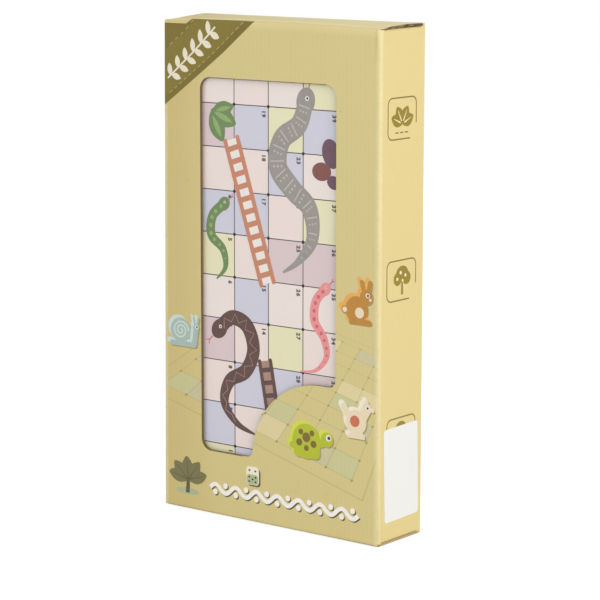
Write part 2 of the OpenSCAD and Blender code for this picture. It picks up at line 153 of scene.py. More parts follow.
def newMaterial(name):
    made = bpy.data.materials.new(name)
    made.use_nodes = True
    return made, Tree(made.node_tree), made.node_tree.nodes["Principled BSDF"], made.node_tree.links.new


def finish(name, recipe, roughness=0.6, **fixed):
    # A material whose recipe gives a colour, and may give a height for its bump and a roughness
    made, tree, shader, link = newMaterial(name)
    shader.inputs["Roughness"].default_value = roughness
    for key, value in fixed.items():
        shader.inputs[key].default_value = value
    given = recipe(tree)
    link(given["color"].socket, shader.inputs["Base Color"])
    if "height" in given:
        bump = tree.node("ShaderNodeBump", {}, {"Strength": given["strength"], "Distance": given["depth"],
                                                "Height": given["height"]})
        link(bump.socket, shader.inputs["Normal"])
    if "roughness" in given:
        link(given["roughness"].socket, shader.inputs["Roughness"])
    return made


def linked(name, data):
    made = bpy.data.objects.new(name, data)
    bpy.context.collection.objects.link(made)
    return made


def toObject(name, shape, *materials):
    mesh = bpy.data.meshes.new(name)
    shape.to_mesh(mesh)
    shape.free()
    for material in materials:
        mesh.materials.append(material)
    return linked(name, mesh)


def placeCamera():
    data = bpy.data.cameras.new("camera")
    camera = linked("camera", data)
    camera.location = view["place"]
    camera.rotation_euler = (math.radians(view["tip"]), 0, math.radians(view["turn"]))
    data.lens, data.sensor_width = view["lens"], view["sensor"]
    data.shift_x, data.shift_y = view["shiftX"], view["shiftY"]
    bpy.context.scene.camera = camera


def placeLamps():
    for name, lamp in lamps.items():
        data = bpy.data.lights.new(name, "AREA")
        data.shape, data.size, data.energy, data.color = "DISK", lamp["size"], lamp["watts"], lamp["color"]
        made = linked(name, data)
        made.location = lamp["place"]
        towards = Vector((0, 0, top / 2)) - made.location
        made.rotation_euler = towards.to_track_quat("-Z", "Y").to_euler()


def seenAsWhite(tree):
    path = tree.node("ShaderNodeLightPath").socket.node
    rays = [Wire(tree, path.outputs[name]) for name in ("Is Camera Ray", "Is Glossy Ray", "Is Transmission Ray")]
    return tree.most(tree.most(rays[0], rays[1]), rays[2])


def paintSurround():
    world = bpy.data.worlds.new("surround")
    world.use_nodes = True
    bpy.context.scene.world = world
    strength = seenAsWhite(Tree(world.node_tree)) * (1 - surround["light"]) + surround["light"]
    background = world.node_tree.nodes["Background"]
    background.inputs["Color"].default_value = (1, 1, 1, 1)
    world.node_tree.links.new(strength.socket, background.inputs["Strength"])


def layFloor():
    shape = bmesh.new()
    bmesh.ops.create_grid(shape, x_segments=1, y_segments=1, size=surround["floorSize"] / 2)
    material, tree, shader, link = newMaterial("floor")
    shader.inputs["Base Color"].default_value = surround["floorColor"]
    shader.inputs["Roughness"].default_value = surround["floorRoughness"]
    white = tree.node("ShaderNodeEmission", {}, {"Color": (1, 1, 1, 1), "Strength": surround["floorGlow"]})
    mixed = tree.node("ShaderNodeMixShader", {}, {0: seenAsWhite(tree) * surround["whiteShare"],
                                                  1: Wire(tree, shader.outputs[0]), 2: white})
    link(mixed.socket, material.node_tree.nodes["Material Output"].inputs[0])
    floor = toObject("floor", shape, material)
    floor.location.z = -surround["floorDrop"]


# Corrugated board of the carton
corrugated = {"pitch": 3.2 * mm, "liner": 0.22 * mm, "print": 0.12 * mm, "medium": 0.18 * mm, "specular": 0.35}
kraft = {name: srgb(*color) for name, color in {
    "khaki": (216, 204, 143), "leftShade": (207, 190, 126), "worn": (234, 227, 184), "liner": (198, 182, 146),
    "medium": (154, 136, 100), "gap": (90, 74, 50), "shade": (74, 54, 34), "tornShade": (48, 32, 16),
    "pale": (232, 228, 202), "foot": (150, 136, 88), "crease": (240, 223, 168), "straw": (206, 188, 130),
    "strand": (114, 96, 64), "dark": (180, 160, 92), "light": (236, 224, 170)}.items()}
# Each noise's scale, detail and roughness, and for fibres how much each axis counts
boardNoise = {"fibre": (1500, 4, 0.6, (1, 1, 0.35)), "drift": (9, 1, 0.4), "speck": (300, 2, 0.5),
              "dent": (26, 2, 0.5), "rub": (420, 3, 0.65), "strand": (2600, 3, 0.7, (1, 1, 0.2)),
              "tear": (1000, 2, 0.5, (1, 0.13, 1))}
# How strongly each mark shows in the colour
boardMark = {"fibre": 0.14, "drift": 0.14, "ridge": 0.04, "speck": 0.3, "score": 0.55, "crease": 0.4, "strand": 0.3}
# The creasing rule's mark, beside the right crease near the top
score = {"inset": 3.7 * mm, "line": (0.15 * mm, 0.5 * mm), "fade": (24 * mm, 3 * mm)}
# The faint board drawn in perspective on the front: its corners across and up, and its squares
drawnBoard = {"corners": ((146, 38), (0, 78), (76, 136), (178, 112)), "squares": 8, "line": 0.03, "dot": 0.055,
              "border": 0.55, "tints": (srgb(192, 208, 168), srgb(192, 200, 184), srgb(238, 230, 190)), "picks": 7,
              "tintShare": 0.5, "lineShare": 0.22, "borderShare": 0.36, "dotShare": 0.6,
              "lineColor": srgb(150, 138, 78), "dotColor": srgb(104, 98, 52)}


def depthIn(tree, place, low, high, walls):
    # Depth below the rounded outside of the carton, in metres: 0 on the print and wall on the inside
    radius, parts = crease * mm, tree.split(place)
    spans = [abs(parts[i] - (low[i] + high[i]) / 2) - ((high[i] - low[i]) / 2 - radius)
             for i in range(3) if "xyz"[i] in walls]
    outs = [tree.most(span, 0) for span in spans]
    squares = sum((out * out for out in outs[1:]), outs[0] * outs[0])
    return radius - tree.maths("SQRT", squares) - tree.least(reduce(tree.most, spans), 0), spans


def onQuad(x, z, corners):
    # Where a point lies in a square seen in perspective, each way from 0 to 1
    rows, ends = [], []
    for (u, v), (a, b) in zip(((0, 0), (1, 0), (1, 1), (0, 1)), corners):
        rows += [[a, b, 1, 0, 0, 0, -u * a, -u * b], [0, 0, 0, a, b, 1, -v * a, -v * b]]
        ends += [u, v]
    h = [float(value) for value in numpy.linalg.solve(rows, ends)]
    below = x * h[6] + z * h[7] + 1
    return (x * h[0] + z * h[1] + h[2]) / below, (x * h[3] + z * h[4] + h[5]) / below


def drawBoard(tree, khaki, x, y, z):
    n, line, dot = (drawnBoard[key] for key in ("squares", "line", "dot"))
    u, v = (part * n for part in onQuad((x - left) / mm, z / mm, drawnBoard["corners"]))
    out = tree.most(abs(u - n / 2), abs(v - n / 2)) - n / 2
    across, up = tree.floor(u), tree.floor(v)
    pick = tree.remainder(across * across * 2 + across * up * 3 + up, drawnBoard["picks"])
    tints = [(tree.isNear(pick, i * 2) * (out < 0) * drawnBoard["tintShare"], tint)
             for i, tint in enumerate(drawnBoard["tints"])]
    du, dv = abs(u - across - 0.5), abs(v - up - 0.5)
    edge = tree.smooth(tree.most(du, dv), 0.5 - line * 1.5, 0.5 - line * 0.5) * (out < 0.02)
    border = 1 - tree.smooth(abs(out - drawnBoard["border"]), line * 0.4, line)
    spot = 1 - tree.smooth(tree.length(0.5 - du, (0.5 - dv) * 0.7), dot * 0.6, dot)
    lined = edge * drawnBoard["lineShare"] + border * drawnBoard["borderShare"]
    color = tree.over(khaki, *tints, (lined, drawnBoard["lineColor"]),
                      (spot * (out < 0.1) * drawnBoard["dotShare"], drawnBoard["dotColor"]))
    return tree.mix(y < front + 0.2 * mm, khaki, color)


def cartonBoard(name, walls="xyz", across="x", low=None, high=None, drawn=False, cut=None, streaks=0):
    # The pieces carry the place that each point had before they were bent, as an attribute
    low, high = low or Vector((left, front, 0)), high or Vector((right, back, top))

    def recipe(tree):
        place = tree.rest()
        x, y, z = tree.split(place)
        fibre, drift, speck, dent, rub, strand, tear = (tree.noise(place, *given) for given in boardNoise.values())
        depth, spans = depthIn(tree, place, low, high, walls)
        turn = tree.wave({"x": x, "y": y}[across] * (2 * math.pi / corrugated["pitch"]))
        # Inked side: paper fibre, a slow drift of the ink, the faint ridges of the flutes, and specks
        # Painted shade: the khaki turns darker over the 50 mm nearest the carton's left end
        khaki = tree.mix(tree.smooth(x, left + 50 * mm, left), kraft["khaki"], kraft["leftShade"])
        marks = [("dark", fibre * boardMark["fibre"]), ("light", drift * boardMark["drift"]),
                 ("dark", (turn * 0.5 + 0.5) * boardMark["ridge"]),
                 ("dark", tree.smooth(speck, 0.74, 0.8) * boardMark["speck"])]
        if drawn:
            khaki = drawBoard(tree, khaki, x, y, z)
            ruled = 1 - tree.smooth(abs(x - right + score["inset"]), *score["line"])
            fade = tree.smooth(z, *(top - drop for drop in score["fade"]))
            marks.insert(0, ("foot", ruled * fade * boardMark["score"]))
        if across == "x":
            # The top crease catches the light on both of its sides
            apart = tree.most(top - z, (y - front) * 0.3)
            marks.append(("crease", tree.smooth(apart, 6.5 * mm, 1.2 * mm) * boardMark["crease"]))
        if len(spans) > 1:
            # Painted highlight along the creases, partly rubbed print, and painted shade in a dark line along the foot,
            # stronger towards the right
            edge = tree.smooth(tree.least(spans[0] + 0.8 * mm, spans[1] - 0.5 * mm), -1.4 * mm, 1 * mm)
            marks.append(("worn", edge * (tree.smooth(rub, 0.3, 0.62) * 0.22 + 0.31)))
            footShade = tree.smooth(z, 1.5 * mm, 0.2 * mm)
            marks.append(("foot", footShade * (tree.smooth(x, 30 * mm, 80 * mm) * 0.4 + 0.5)))
        khaki = tree.over(khaki, *((share, kraft[mark]) for mark, share in marks))
        # Cut edge and bare inside: two liners and the wave between them, with painted shade in the open flutes
        middle = wall / 2
        swing = middle - corrugated["liner"]
        medium = 1 - tree.smooth(abs(depth - middle - turn * swing), corrugated["medium"], corrugated["medium"] * 2)
        solid = tree.most(medium, tree.smooth(abs(depth - middle), swing - 0.05 * mm, swing))
        bare = tree.over(kraft["liner"], (medium, kraft["medium"]), (strand * boardMark["strand"], kraft["strand"]),
                         (1 - solid, kraft["gap"]))
        if cut:
            # A worn edge may be torn in streaks, light where the liner lifts and dark with painted shade where it opens
            share, color = cut
            tornShade = tree.smooth(tear, 0.47, 0.6)
            bare = tree.mix((tornShade * streaks + (1 - streaks)) * share, bare, kraft[color])
        inked = depth < corrugated["print"]
        ridge = turn * 0.14 + fibre * 0.35 + dent * 2.2
        return {"color": tree.mix(inked, bare, khaki), "height": inked * ridge + (1 - inked) * solid,
                "strength": 0.5, "depth": 0.12 * mm, "roughness": 0.62 + inked * -0.08 + fibre * 0.12}
    return finish(name, recipe, **{"Specular IOR Level": corrugated["specular"]})


def cutAt(shape, place, normal):
    whole = shape.verts[:] + shape.edges[:] + shape.faces[:]
    bmesh.ops.bisect_plane(shape, geom=whole, plane_co=place, plane_no=normal)


def bent(name, node, body, material, shift, planes, wider=True):
    # A CAD piece cut finely along the planes and bent; each point keeps where it was
    shape = bmesh.new()
    shape.from_mesh(nodes[node].data)
    bmesh.ops.remove_doubles(shape, verts=shape.verts, dist=0.001 * mm)
    for axis, places in planes.items():
        normal = [float(axis == k) for k in "xyz"]
        for place in places:
            cutAt(shape, [place * n for n in normal], normal)
    bmesh.ops.triangulate(shape, faces=shape.faces)
    rest = shape.verts.layers.float_vector.new("rest")
    for vertex in shape.verts:
        vertex[rest] = vertex.co
        away = spread(vertex.co)
        vertex.co += shift(vertex.co) + (away if wider else Vector((0, away.y, 0)))
    made = toObject(name, shape, material)
    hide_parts(node)
    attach(made, body)


# How the closed lid bulges: the rise of its outside over the crease, in millimetres, at shares of its depth
bulge = {"leftRise": ((0, 0), (0.25, 0.9), (0.5, 1.8), (0.85, 2.8), (1, 2.6)),
         "rightRise": ((0, 0), (0.1, 0.7), (0.25, 1.4), (0.5, 1.9), (0.85, 2.2), (1, 1.6)),
         "rear": ((0, 1.7), (0.4, 1.8), (0.55, 1.7), (0.85, 1.7), (1, 1.9)), "reach": 70 * mm,
         "front": ((0, 0.5), (0.11, 0.5), (0.137, 1.8), (0.36, 1.9), (0.6, 1.8), (0.85, 1), (0.97, 0.2), (1, 0)),
         "frontReach": 16 * mm, "sideFront": 1.0, "sideBack": 1.7}
# Loaded with its game, the carton also stands a little wider at its left foot, and deeper, than when it is cut
swell = {"foot": 2.2 * mm, "reach": 26 * mm, "deeper": 0.025}
# A dust flap's crease end draws back, so that an opened flap stands on the raised side
drawBack = {"start": 72, "reach": 8.7, "gap": 0.2 * mm}


def clamped(value):
    return min(max(value, 0), 1)


def along(table, share):
    return float(numpy.interp(share, *zip(*table)))


def sideways(point):
    return clamped((point.x - left) / (right - left))


def raised(point, rise, reach, start=top):
    # The rise of the top edge fades out over its reach below it
    return Vector((0, 0, rise * mm * clamped(1 - (start - point.z) / reach)))


def spread(point):
    near = clamped(1 - (point.x - left) / swell["reach"])
    return Vector((-swell["foot"] * (1 - point.z / top) * near, (point.y - front) * swell["deeper"], 0))


def unmoved(point):
    return Vector((0, 0, 0))


def lidShift(point):
    share = (point.y - front - crease * mm) / (back - front - 2 * crease * mm)
    side = sideways(point)
    rise = along(bulge["leftRise"], share) * (1 - side) + along(bulge["rightRise"], share) * side
    share = max(share, 0)
    rise = max(rise, along(bulge["front"], side) * (1 - share) + rise * share * 0.6)
    return Vector((0, 0, rise * mm))


def tongueShift(point):
    return lidShift(Vector((point.x, back - crease * mm, 0)))


def frontShift(point):
    return raised(point, along(bulge["front"], sideways(point)), bulge["frontReach"], top - crease * mm)


def sideShift(point):
    share = (point.y - front) / (back - front)
    return raised(point, bulge["sideFront"] + (bulge["sideBack"] - bulge["sideFront"]) * share, bulge["reach"])


def flapShift(point):
    rise = sideShift(Vector((point.x, point.y, top))).z
    near = clamped((abs(point.x) / mm - drawBack["start"]) / drawBack["reach"])
    return Vector((-math.copysign((rise + drawBack["gap"]) * near, point.x), 0, rise))


def rearShift(point):
    return raised(point, along(bulge["rear"], sideways(point)), bulge["reach"])


def labelShift(point):
    return Vector((0, -1.4 * mm, 1.1 * mm))


def dress(material, *names):
    for name in names:
        slots = nodes[name].data.materials
        slots.clear()
        slots.append(material)


def softened(amount, *names):
    # CAD pieces come with split corners, so they are welded before their edges are rounded
    for name in names:
        node = nodes[name]
        node.modifiers.new("weld", "WELD").merge_threshold = 0.002 * mm
        bevel = node.modifiers.new("bevel", "BEVEL")
        bevel.width, bevel.segments, bevel.limit_method, bevel.angle_limit = amount * mm, 2, "ANGLE", math.radians(40)
        bevel.use_clamp_overlap = True


def dressCarton():
    # Planes to cut at: rows go back, columns go across and levels go down from the top
    rows = [front + i * mm for i in range(1, 44)]
    columns = [left + i * 8 * mm for i in range(1, 21)] + [left + 18 * mm, left + 22.6 * mm]
    levels = [top - i * 5 * mm for i in range(1, 15)]
    frontLevels = [top - drop * mm for drop in (18, 12, 6, 2)]
    sideLow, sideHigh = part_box("right_panel")
    sides = {"across": "y", "low": Vector((left, front, sideLow.z)), "high": Vector((right, back, sideHigh.z))}
    # The lid's cut edge is torn in streaks of painted shade
    over = cartonBoard("top board", walls="yz", cut=(0.85, "tornShade"), streaks=0.95)
    under = cartonBoard("bottom board", walls="yz", cut=(0.5, "straw"))
    upright, flaps = cartonBoard("side board", **sides), cartonBoard("flap board", walls="z", **sides)
    # The back panel's bare board is painted pale, a painted highlight on its top edge; the front's cut walls round the
    # window carry painted shade
    behind = cartonBoard("back board", walls="xy", cut=(0.85, "pale"))
    face = cartonBoard("front board", drawn=True, cut=(0.5, "shade"))
    bent("frontPanel", "front_panel", root, face, frontShift, {"x": columns, "z": frontLevels})
    bent("topLid", "top_lid", "top_lid", over, lidShift, {"x": columns, "y": rows})
    bent("topTongue", "top_tongue", "top_tongue", over, tongueShift, {"x": columns})
    for part in ("Lid", "Tongue"):
        node = "bottom_" + part.lower()
        bent("bottom" + part, node, node, under, unmoved, {"x": columns[:3]})
    bent("glueFlap", "glue_flap", root, flaps, unmoved, {"x": columns[:3]})
    for side in ("right", "left"):
        bent(side + "Panel", side + "_panel", root, upright, sideShift, {"y": rows[::3], "z": levels})
        for end, shift in (("top", flapShift), ("bottom", unmoved)):
            flap = f"{end}_dust_flap_{side}"
            bent(end + "Flap" + side.title(), flap, flap, flaps, shift, {"x": columns, "y": rows[::3]}, wider=False)
    bent("backPanel", "back_panel", root, behind, rearShift, {"x": columns, "z": levels})
    bent("sideLabel", "blank_label", root, labelPaper(), labelShift, {})


def labelPaper():
    def recipe(tree):
        speck = tree.noise(tree.place(), 900, 4, 0.6)
        return {"color": tree.mix(speck * 0.2, srgb(226, 232, 231), srgb(214, 218, 217)), "height": speck,
                "strength": 0.2, "depth": 0.05 * mm}
    return finish("white label", recipe, 0.5)


# Inks, each with a light and a dark colour as they are read off a screen
def ink(name, color, darker):
    def recipe(tree):
        place = tree.place()
        speck = tree.noise(place, 1300, 3, 0.6, (1, 1, 0.5))
        wash = tree.noise(place, 60, 3, 0.6)
        # Dry places where the colour took thinly, as on a crayon drawing
        dry = tree.smooth(tree.noise(place, 420, 4, 0.7, (1, 1, 0.6)), 0.5, 0.68)
        shaded = tree.mix(speck * 0.35 + wash * 0.35, color, darker)
        return {"color": tree.mix(dry * 0.45, shaded, darker), "height": speck, "strength": 0.2,
                "depth": 0.03 * mm, "roughness": speck * 0.12 + 0.45}
    return finish(name, recipe)


inks = {name: ink(name + " ink", srgb(*parts[:3]), srgb(*parts[3:])) for name, parts in {
    "dark": (84, 76, 80, 60, 52, 56), "black": (34, 28, 30, 20, 16, 18), "white": (244, 242, 238, 226, 222, 216),
    "brown": (100, 72, 66, 74, 52, 48), "tan": (178, 146, 132, 150, 120, 108), "grey": (160, 158, 152, 140, 138, 134),
    "pale": (196, 190, 184, 180, 174, 168), "pink": (240, 158, 160, 226, 136, 142),
    "rose": (214, 110, 116, 196, 92, 100), "green": (116, 146, 92, 92, 122, 72),
    "lime": (150, 178, 118, 130, 158, 96), "plum": (112, 82, 98, 92, 64, 80),
    "terracotta": (206, 142, 112, 190, 124, 94), "stone": (136, 84, 78, 116, 68, 62),
    "ribbon": (132, 119, 30, 118, 102, 24), "hem": (124, 109, 22, 108, 93, 16),
    "stitch": (180, 170, 112, 164, 152, 96), "braid": (240, 234, 214, 226, 218, 194),
    "shadow": (168, 156, 104, 156, 144, 94), "rimShade": (104, 84, 48, 78, 60, 34), "dusk": (88, 82, 62, 76, 70, 50),
    "limeFace": (186, 200, 40, 170, 182, 26), "limeSide": (214, 226, 84, 204, 216, 66),
    "brownSpot": (126, 106, 34, 108, 90, 26), "russetFace": (196, 142, 56, 172, 120, 38),
    "russetSide": (236, 178, 92, 224, 164, 74), "blueFace": (172, 194, 186, 160, 182, 176),
    "blueSide": (208, 224, 216, 196, 214, 208), "creamFace": (238, 226, 196, 228, 214, 180),
    "creamSide": (246, 240, 222, 240, 232, 208), "comb": (206, 118, 84, 192, 102, 70),
    "bush": (122, 118, 72, 106, 102, 58), "stem": (96, 88, 58, 82, 74, 46), "pool": (178, 192, 150, 168, 182, 140),
    "titleWhite": (250, 250, 248, 240, 238, 232), "frame": (130, 116, 48, 116, 102, 38),
    "icon": (142, 128, 12, 128, 112, 8), "iconPale": (236, 228, 184, 226, 216, 170),
}.items()}


# Flat shapes, in millimetres on the face that they are printed on
sideCount = {"disc": 28, "capsuleEnd": 8, "corner": 6}


def polar(degrees):
    return math.cos(math.radians(degrees)), math.sin(math.radians(degrees))


def turned(points, x, y, degrees):
    c, s = polar(degrees)
    return [(x + c * u - s * v, y + s * u + c * v) for u, v in points]


def disc(x, y, rx, ry=None, tilt=0):
    ring = (polar(360 * i / sideCount["disc"]) for i in range(sideCount["disc"]))
    return turned([(rx * c, (ry or rx) * s) for c, s in ring], x, y, tilt)


def curve(points, steps=8, closed=False):
    # A smooth line through the points
    loop = [points[-1], *points, points[0], points[1]] if closed else [points[0], *points, points[-1]]
    line = []
    for a, b, c, d in zip(loop, loop[1:], loop[2:], loop[3:]):
        for i in range(steps):
            t = i / steps
            line.append(tuple(0.5 * (2 * q + (r - p) * t + (2 * p - 5 * q + 4 * r - s) * t * t
                                     + (3 * q - p - 3 * r + s) * t ** 3) for p, q, r, s in zip(a, b, c, d)))
    return line if closed else line + [points[-1]]


def strip(line, widths):
    # A band along a line; the widths are spread evenly over its length
    lefts, rights = [], []
    halves = numpy.interp(numpy.linspace(0, 1, len(line)), numpy.linspace(0, 1, len(widths)), widths) / 2
    for i, (x, y) in enumerate(line):
        (ax, ay), (bx, by) = line[max(i - 1, 0)], line[min(i + 1, len(line) - 1)]
        size = (math.hypot(bx - ax, by - ay) or 1) / float(halves[i])
        dx, dy = (bx - ax) / size, (by - ay) / size
        lefts.append((x - dy, y + dx))
        rights.append((x + dy, y - dx))
    return lefts + rights[::-1]


def arc(x, y, r, first, sweep, count):
    # Points round a centre, from one angle on, both ends included
    return [(x + r * math.cos(first + sweep * i / count), y + r * math.sin(first + sweep * i / count))
            for i in range(count + 1)]


def capsule(x0, y0, x1, y1, r):
    turn = math.atan2(y1 - y0, x1 - x0)
    return [point for x, y, first in ((x1, y1, turn - math.pi / 2), (x0, y0, turn + math.pi / 2))
            for point in arc(x, y, r, first, math.pi, sideCount["capsuleEnd"])]


def rectangle(x0, y0, x1, y1):
    return [(x0, y0), (x1, y0), (x1, y1), (x0, y1)]


def roundRectangle(x0, y0, x1, y1, r, count=sideCount["corner"]):
    points = []
    for k, (x, y) in enumerate(((x1 - r, y0 + r), (x1 - r, y1 - r), (x0 + r, y1 - r), (x0 + r, y0 + r))):
        points += arc(x, y, r, (k - 1) * math.pi / 2, math.pi / 2, count)
    return points


def leaf(x, y, length, width, tilt):
    line = [(0, 0), (0.3, 0.46), (0.62, 0.5), (0.88, 0.26), (1, 0), (0.88, -0.26), (0.62, -0.5), (0.3, -0.46)]
    return turned([(u * length, v * width) for u, v in curve(line, 4, closed=True)], x, y, tilt)


def moved(shapes, dx, dy, scale=1, flip=1):
    return [[(dx + x * scale * flip, dy + y * scale) for x, y in shape] for shape in shapes]


def holds(shape, x, y):
    inside = False
    for (ax, ay), (bx, by) in zip(shape, shape[1:] + shape[:1]):
        if (ay > y) != (by > y) and x < (bx - ax) * (y - ay) / (by - ay) + ax:
            inside = not inside
    return inside


def fill(shapes, holes=()):
    # Triangles of the shapes' union without the holes
    corners, faces = [], []
    for shape in (*shapes, *holes):
        faces.append(list(range(len(corners), len(corners) + len(shape))))
        corners += [Vector(p) for p in shape]
    points, _, triangles, *_ = geometry.delaunay_2d_cdt(corners, [], faces, 1, 1e-4)
    kept = []
    for triangle in triangles:
        x, y = (sum(points[i][k] for i in triangle) / 3 for k in (0, 1))
        if any(holds(s, x, y) for s in shapes) and not any(holds(h, x, y) for h in holes):
            kept.append(triangle)
    return points, kept


# The faces that carry print: across, up and off the face in millimetres, to a point in the row
def spreadOut(x, y, z):
    point = Vector((x, y, z))
    return point + spread(point)


def frontPrintShift(point):
    return frontShift(point) + spread(point)


def onFront(u, v, lift):
    # Near an edge of the front the print turns round the crease
    turns = ((crease - u, (-1, 0)), (u - width + crease, (1, 0)), (v - height + crease, (0, 1)), (crease - v, (0, -1)))
    over, (a, b) = max(turns)
    over = min(max(over, 0), crease * 0.999) / crease
    off = crease - (crease + lift) * math.sqrt(1 - over ** 2)
    point = Vector((left, front, 0)) + mm * Vector((u + a * lift * over, off, v + b * lift * over))
    return point + frontPrintShift(point)


def onSide(u, v, lift): return spreadOut(right + lift * mm, front + u * mm, v * mm)
def onBack(u, v, lift): return spreadOut(right - u * mm, back + lift * mm, v * mm)
def onLeft(u, v, lift): return spreadOut(left - lift * mm, back - u * mm, v * mm)
def onBoard(u, v, lift): return Vector((left + u * mm, boardFace - lift * mm, v * mm))
def onFoldedBoard(u, v, lift): return Vector((left + (2 * fold - u) * mm, foldedFace + lift * mm, v * mm))


def placed(name, shape, keys):
    made = toObject(name, shape, *(inks[key] for key in keys))
    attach(made, root)


class Print:
    # Thin closed layers of ink on one face of the object, all in one piece
    thick, sunk = 0.03, 0.02

    def __init__(self, name, face, slot="carton_print", creases=()):
        self.name, self.face, self.slot, self.creases = name, face, slot, creases
        self.shape, self.keys = bmesh.new(), []

    def index(self, key):
        if key not in self.keys:
            self.keys.append(key)
        return self.keys.index(key)

    def add(self, key, level, shapes, holes=()):
        points, triangles = fill(shapes, holes)
        flat = bmesh.new()
        corners = [flat.verts.new((p[0], p[1], 0)) for p in points]
        for triangle in triangles:
            flat.faces.new([corners[i] for i in triangle])
        bmesh.ops.delete(flat, geom=[v for v in flat.verts if not v.link_faces], context="VERTS")
        for place, normal in self.creases:
            cutAt(flat, place, normal)
        bmesh.ops.triangulate(flat, faces=flat.faces)
        flat.verts.ensure_lookup_table()
        low, high = ([self.shape.verts.new(self.face(v.co.x, v.co.y, lift)) for v in flat.verts]
                     for lift in (-self.sunk, self.thick * (level + 1)))
        index = self.index(key)
        for f in flat.faces:
            upward = f.normal.z > 0
            order = [v.index for v in (f.verts if upward else reversed(f.verts))]
            rings = [[high[i] for i in order], [low[i] for i in reversed(order)]]
            for loop in f.loops:
                if loop.edge.is_boundary:
                    a, b = loop.vert.index, loop.link_loop_next.vert.index
                    a, b = (a, b) if upward else (b, a)
                    rings.append([low[a], low[b], high[b], high[a]])
            for ring in rings:
                self.shape.faces.new(ring).material_index = index
        flat.free()

    def addMeshes(self, key, meshes):
        # Digits come as closed solids already, and are laid on their side
        index = self.index(key)
        for mesh, u, v in meshes:
            corners = [self.shape.verts.new(self.face(u + x.co.y, v - x.co.x, x.co.z)) for x in mesh.vertices]
            for polygon in mesh.polygons:
                self.shape.faces.new([corners[i] for i in polygon.vertices]).material_index = index

    def done(self):
        placed(self.name, self.shape, self.keys)


def printed(name, face, *layers, **settings):
    piece = Print(name, face, **settings)
    for layer in layers:
        piece.add(*layer)
    piece.done()


# Forms that repeat: bars or discs on a lattice, grown by one tree
latticeInputs = {"across": ("Across", "Int"), "up": ("Up", "Int"), "acrossStep": ("Across Step", "Vector"),
                 "upStep": ("Up Step", "Vector"), "start": ("Start", "Vector"), "size": ("Size", "Vector"),
                 "turn": ("Turn", "Vector"), "round": ("Round", "Bool"), "material": ("Material", "Material")}


def latticeTree():
    group = bpy.data.node_groups.new("lattice", "GeometryNodeTree")
    group.interface.new_socket(name="Geometry", in_out="OUTPUT", socket_type="NodeSocketGeometry")
    for name, kind in latticeInputs.values():
        group.interface.new_socket(name=name, in_out="INPUT", socket_type="NodeSocket" + kind)
    tree = Tree(group)
    wire = {s.name: Wire(tree, s) for s in group.nodes.new("NodeGroupInput").outputs}

    def form(kind, inputs, **settings):
        return tree.node("GeometryNode" + kind, settings, inputs)

    rows = form("MeshLine", {"Count": wire["Up"], "Start Location": wire["Start"], "Offset": wire["Up Step"]},
                mode="OFFSET")
    line = form("MeshLine", {"Count": wire["Across"], "Offset": wire["Across Step"]}, mode="OFFSET")
    points = form("RealizeInstances", {"Geometry": form("InstanceOnPoints", {"Points": rows, "Instance": line})})
    block = form("MeshCube", {"Size": (1, 1, 1)})
    drum = form("MeshCylinder", {"Vertices": 20, "Radius": 0.5, "Depth": 1.0})
    shape = form("Switch", {"Switch": wire["Round"], "False": block, "True": drum}, input_type="GEOMETRY")
    sized = form("Transform", {"Geometry": shape, "Scale": wire["Size"]})
    copies = form("InstanceOnPoints", {"Points": points, "Instance": sized, "Rotation": wire["Turn"]})
    whole = form("SetMaterial", {"Geometry": form("RealizeInstances", {"Geometry": copies}),
                                 "Material": wire["Material"]})
    group.links.new(whole.socket, group.nodes.new("NodeGroupOutput").inputs[0])
    return group


def plainMesh(holder):
    # What an object's modifiers make of it, as a mesh of its own
    bpy.context.view_layer.update()
    mesh = bpy.data.meshes.new_from_object(holder.evaluated_get(bpy.context.evaluated_depsgraph_get()))
    bpy.data.objects.remove(holder)
    return mesh


def grown(name, lattice, key, **values):
    # The tree's result as a plain mesh, with its ink's key
    holder = linked(name, bpy.data.meshes.new(name))
    modifier = holder.modifiers.new(name, "NODES")
    modifier.node_group = lattice
    sockets = {item.name: item.identifier for item in lattice.interface.items_tree}
    for given, value in {**values, "material": inks[key]}.items():
        modifier[sockets[latticeInputs[given][0]]] = value
    return key, plainMesh(holder)


def placeGrown(name, grownMeshes, shift=unmoved):
    joined = bmesh.new()
    for k, (key, mesh) in enumerate(grownMeshes):
        start = len(joined.faces)
        joined.from_mesh(mesh)
        joined.faces.ensure_lookup_table()
        for f in joined.faces[start:]:
            f.material_index = k
    for vertex in joined.verts:
        vertex.co += shift(vertex.co)
    placed(name, joined, [key for key, _ in grownMeshes])


# Print on the board: squares by a rule, lines, dots, numbers, snakes and ladders
board = {"firstAcross": 27.7, "firstUp": 283.8, "square": 26.5, "count": 10, "shown": 5, "line": 0.58, "dot": 2.1,
         "film": 0.04, "digit": 3.9, "digitThick": 0.07, "digitRise": 0.73, "bold": 0.18, "spacing": 2.25,
         "numberRight": 2.0, "numberDown": 2.4,
         "margin": srgb(222, 214, 216), "fibre": srgb(190, 180, 178), "worn": srgb(246, 240, 236)}
squareColors = [srgb(239, 230, 225), srgb(206, 209, 226), srgb(219, 201, 206), srgb(233, 231, 191), srgb(238, 226, 221)]


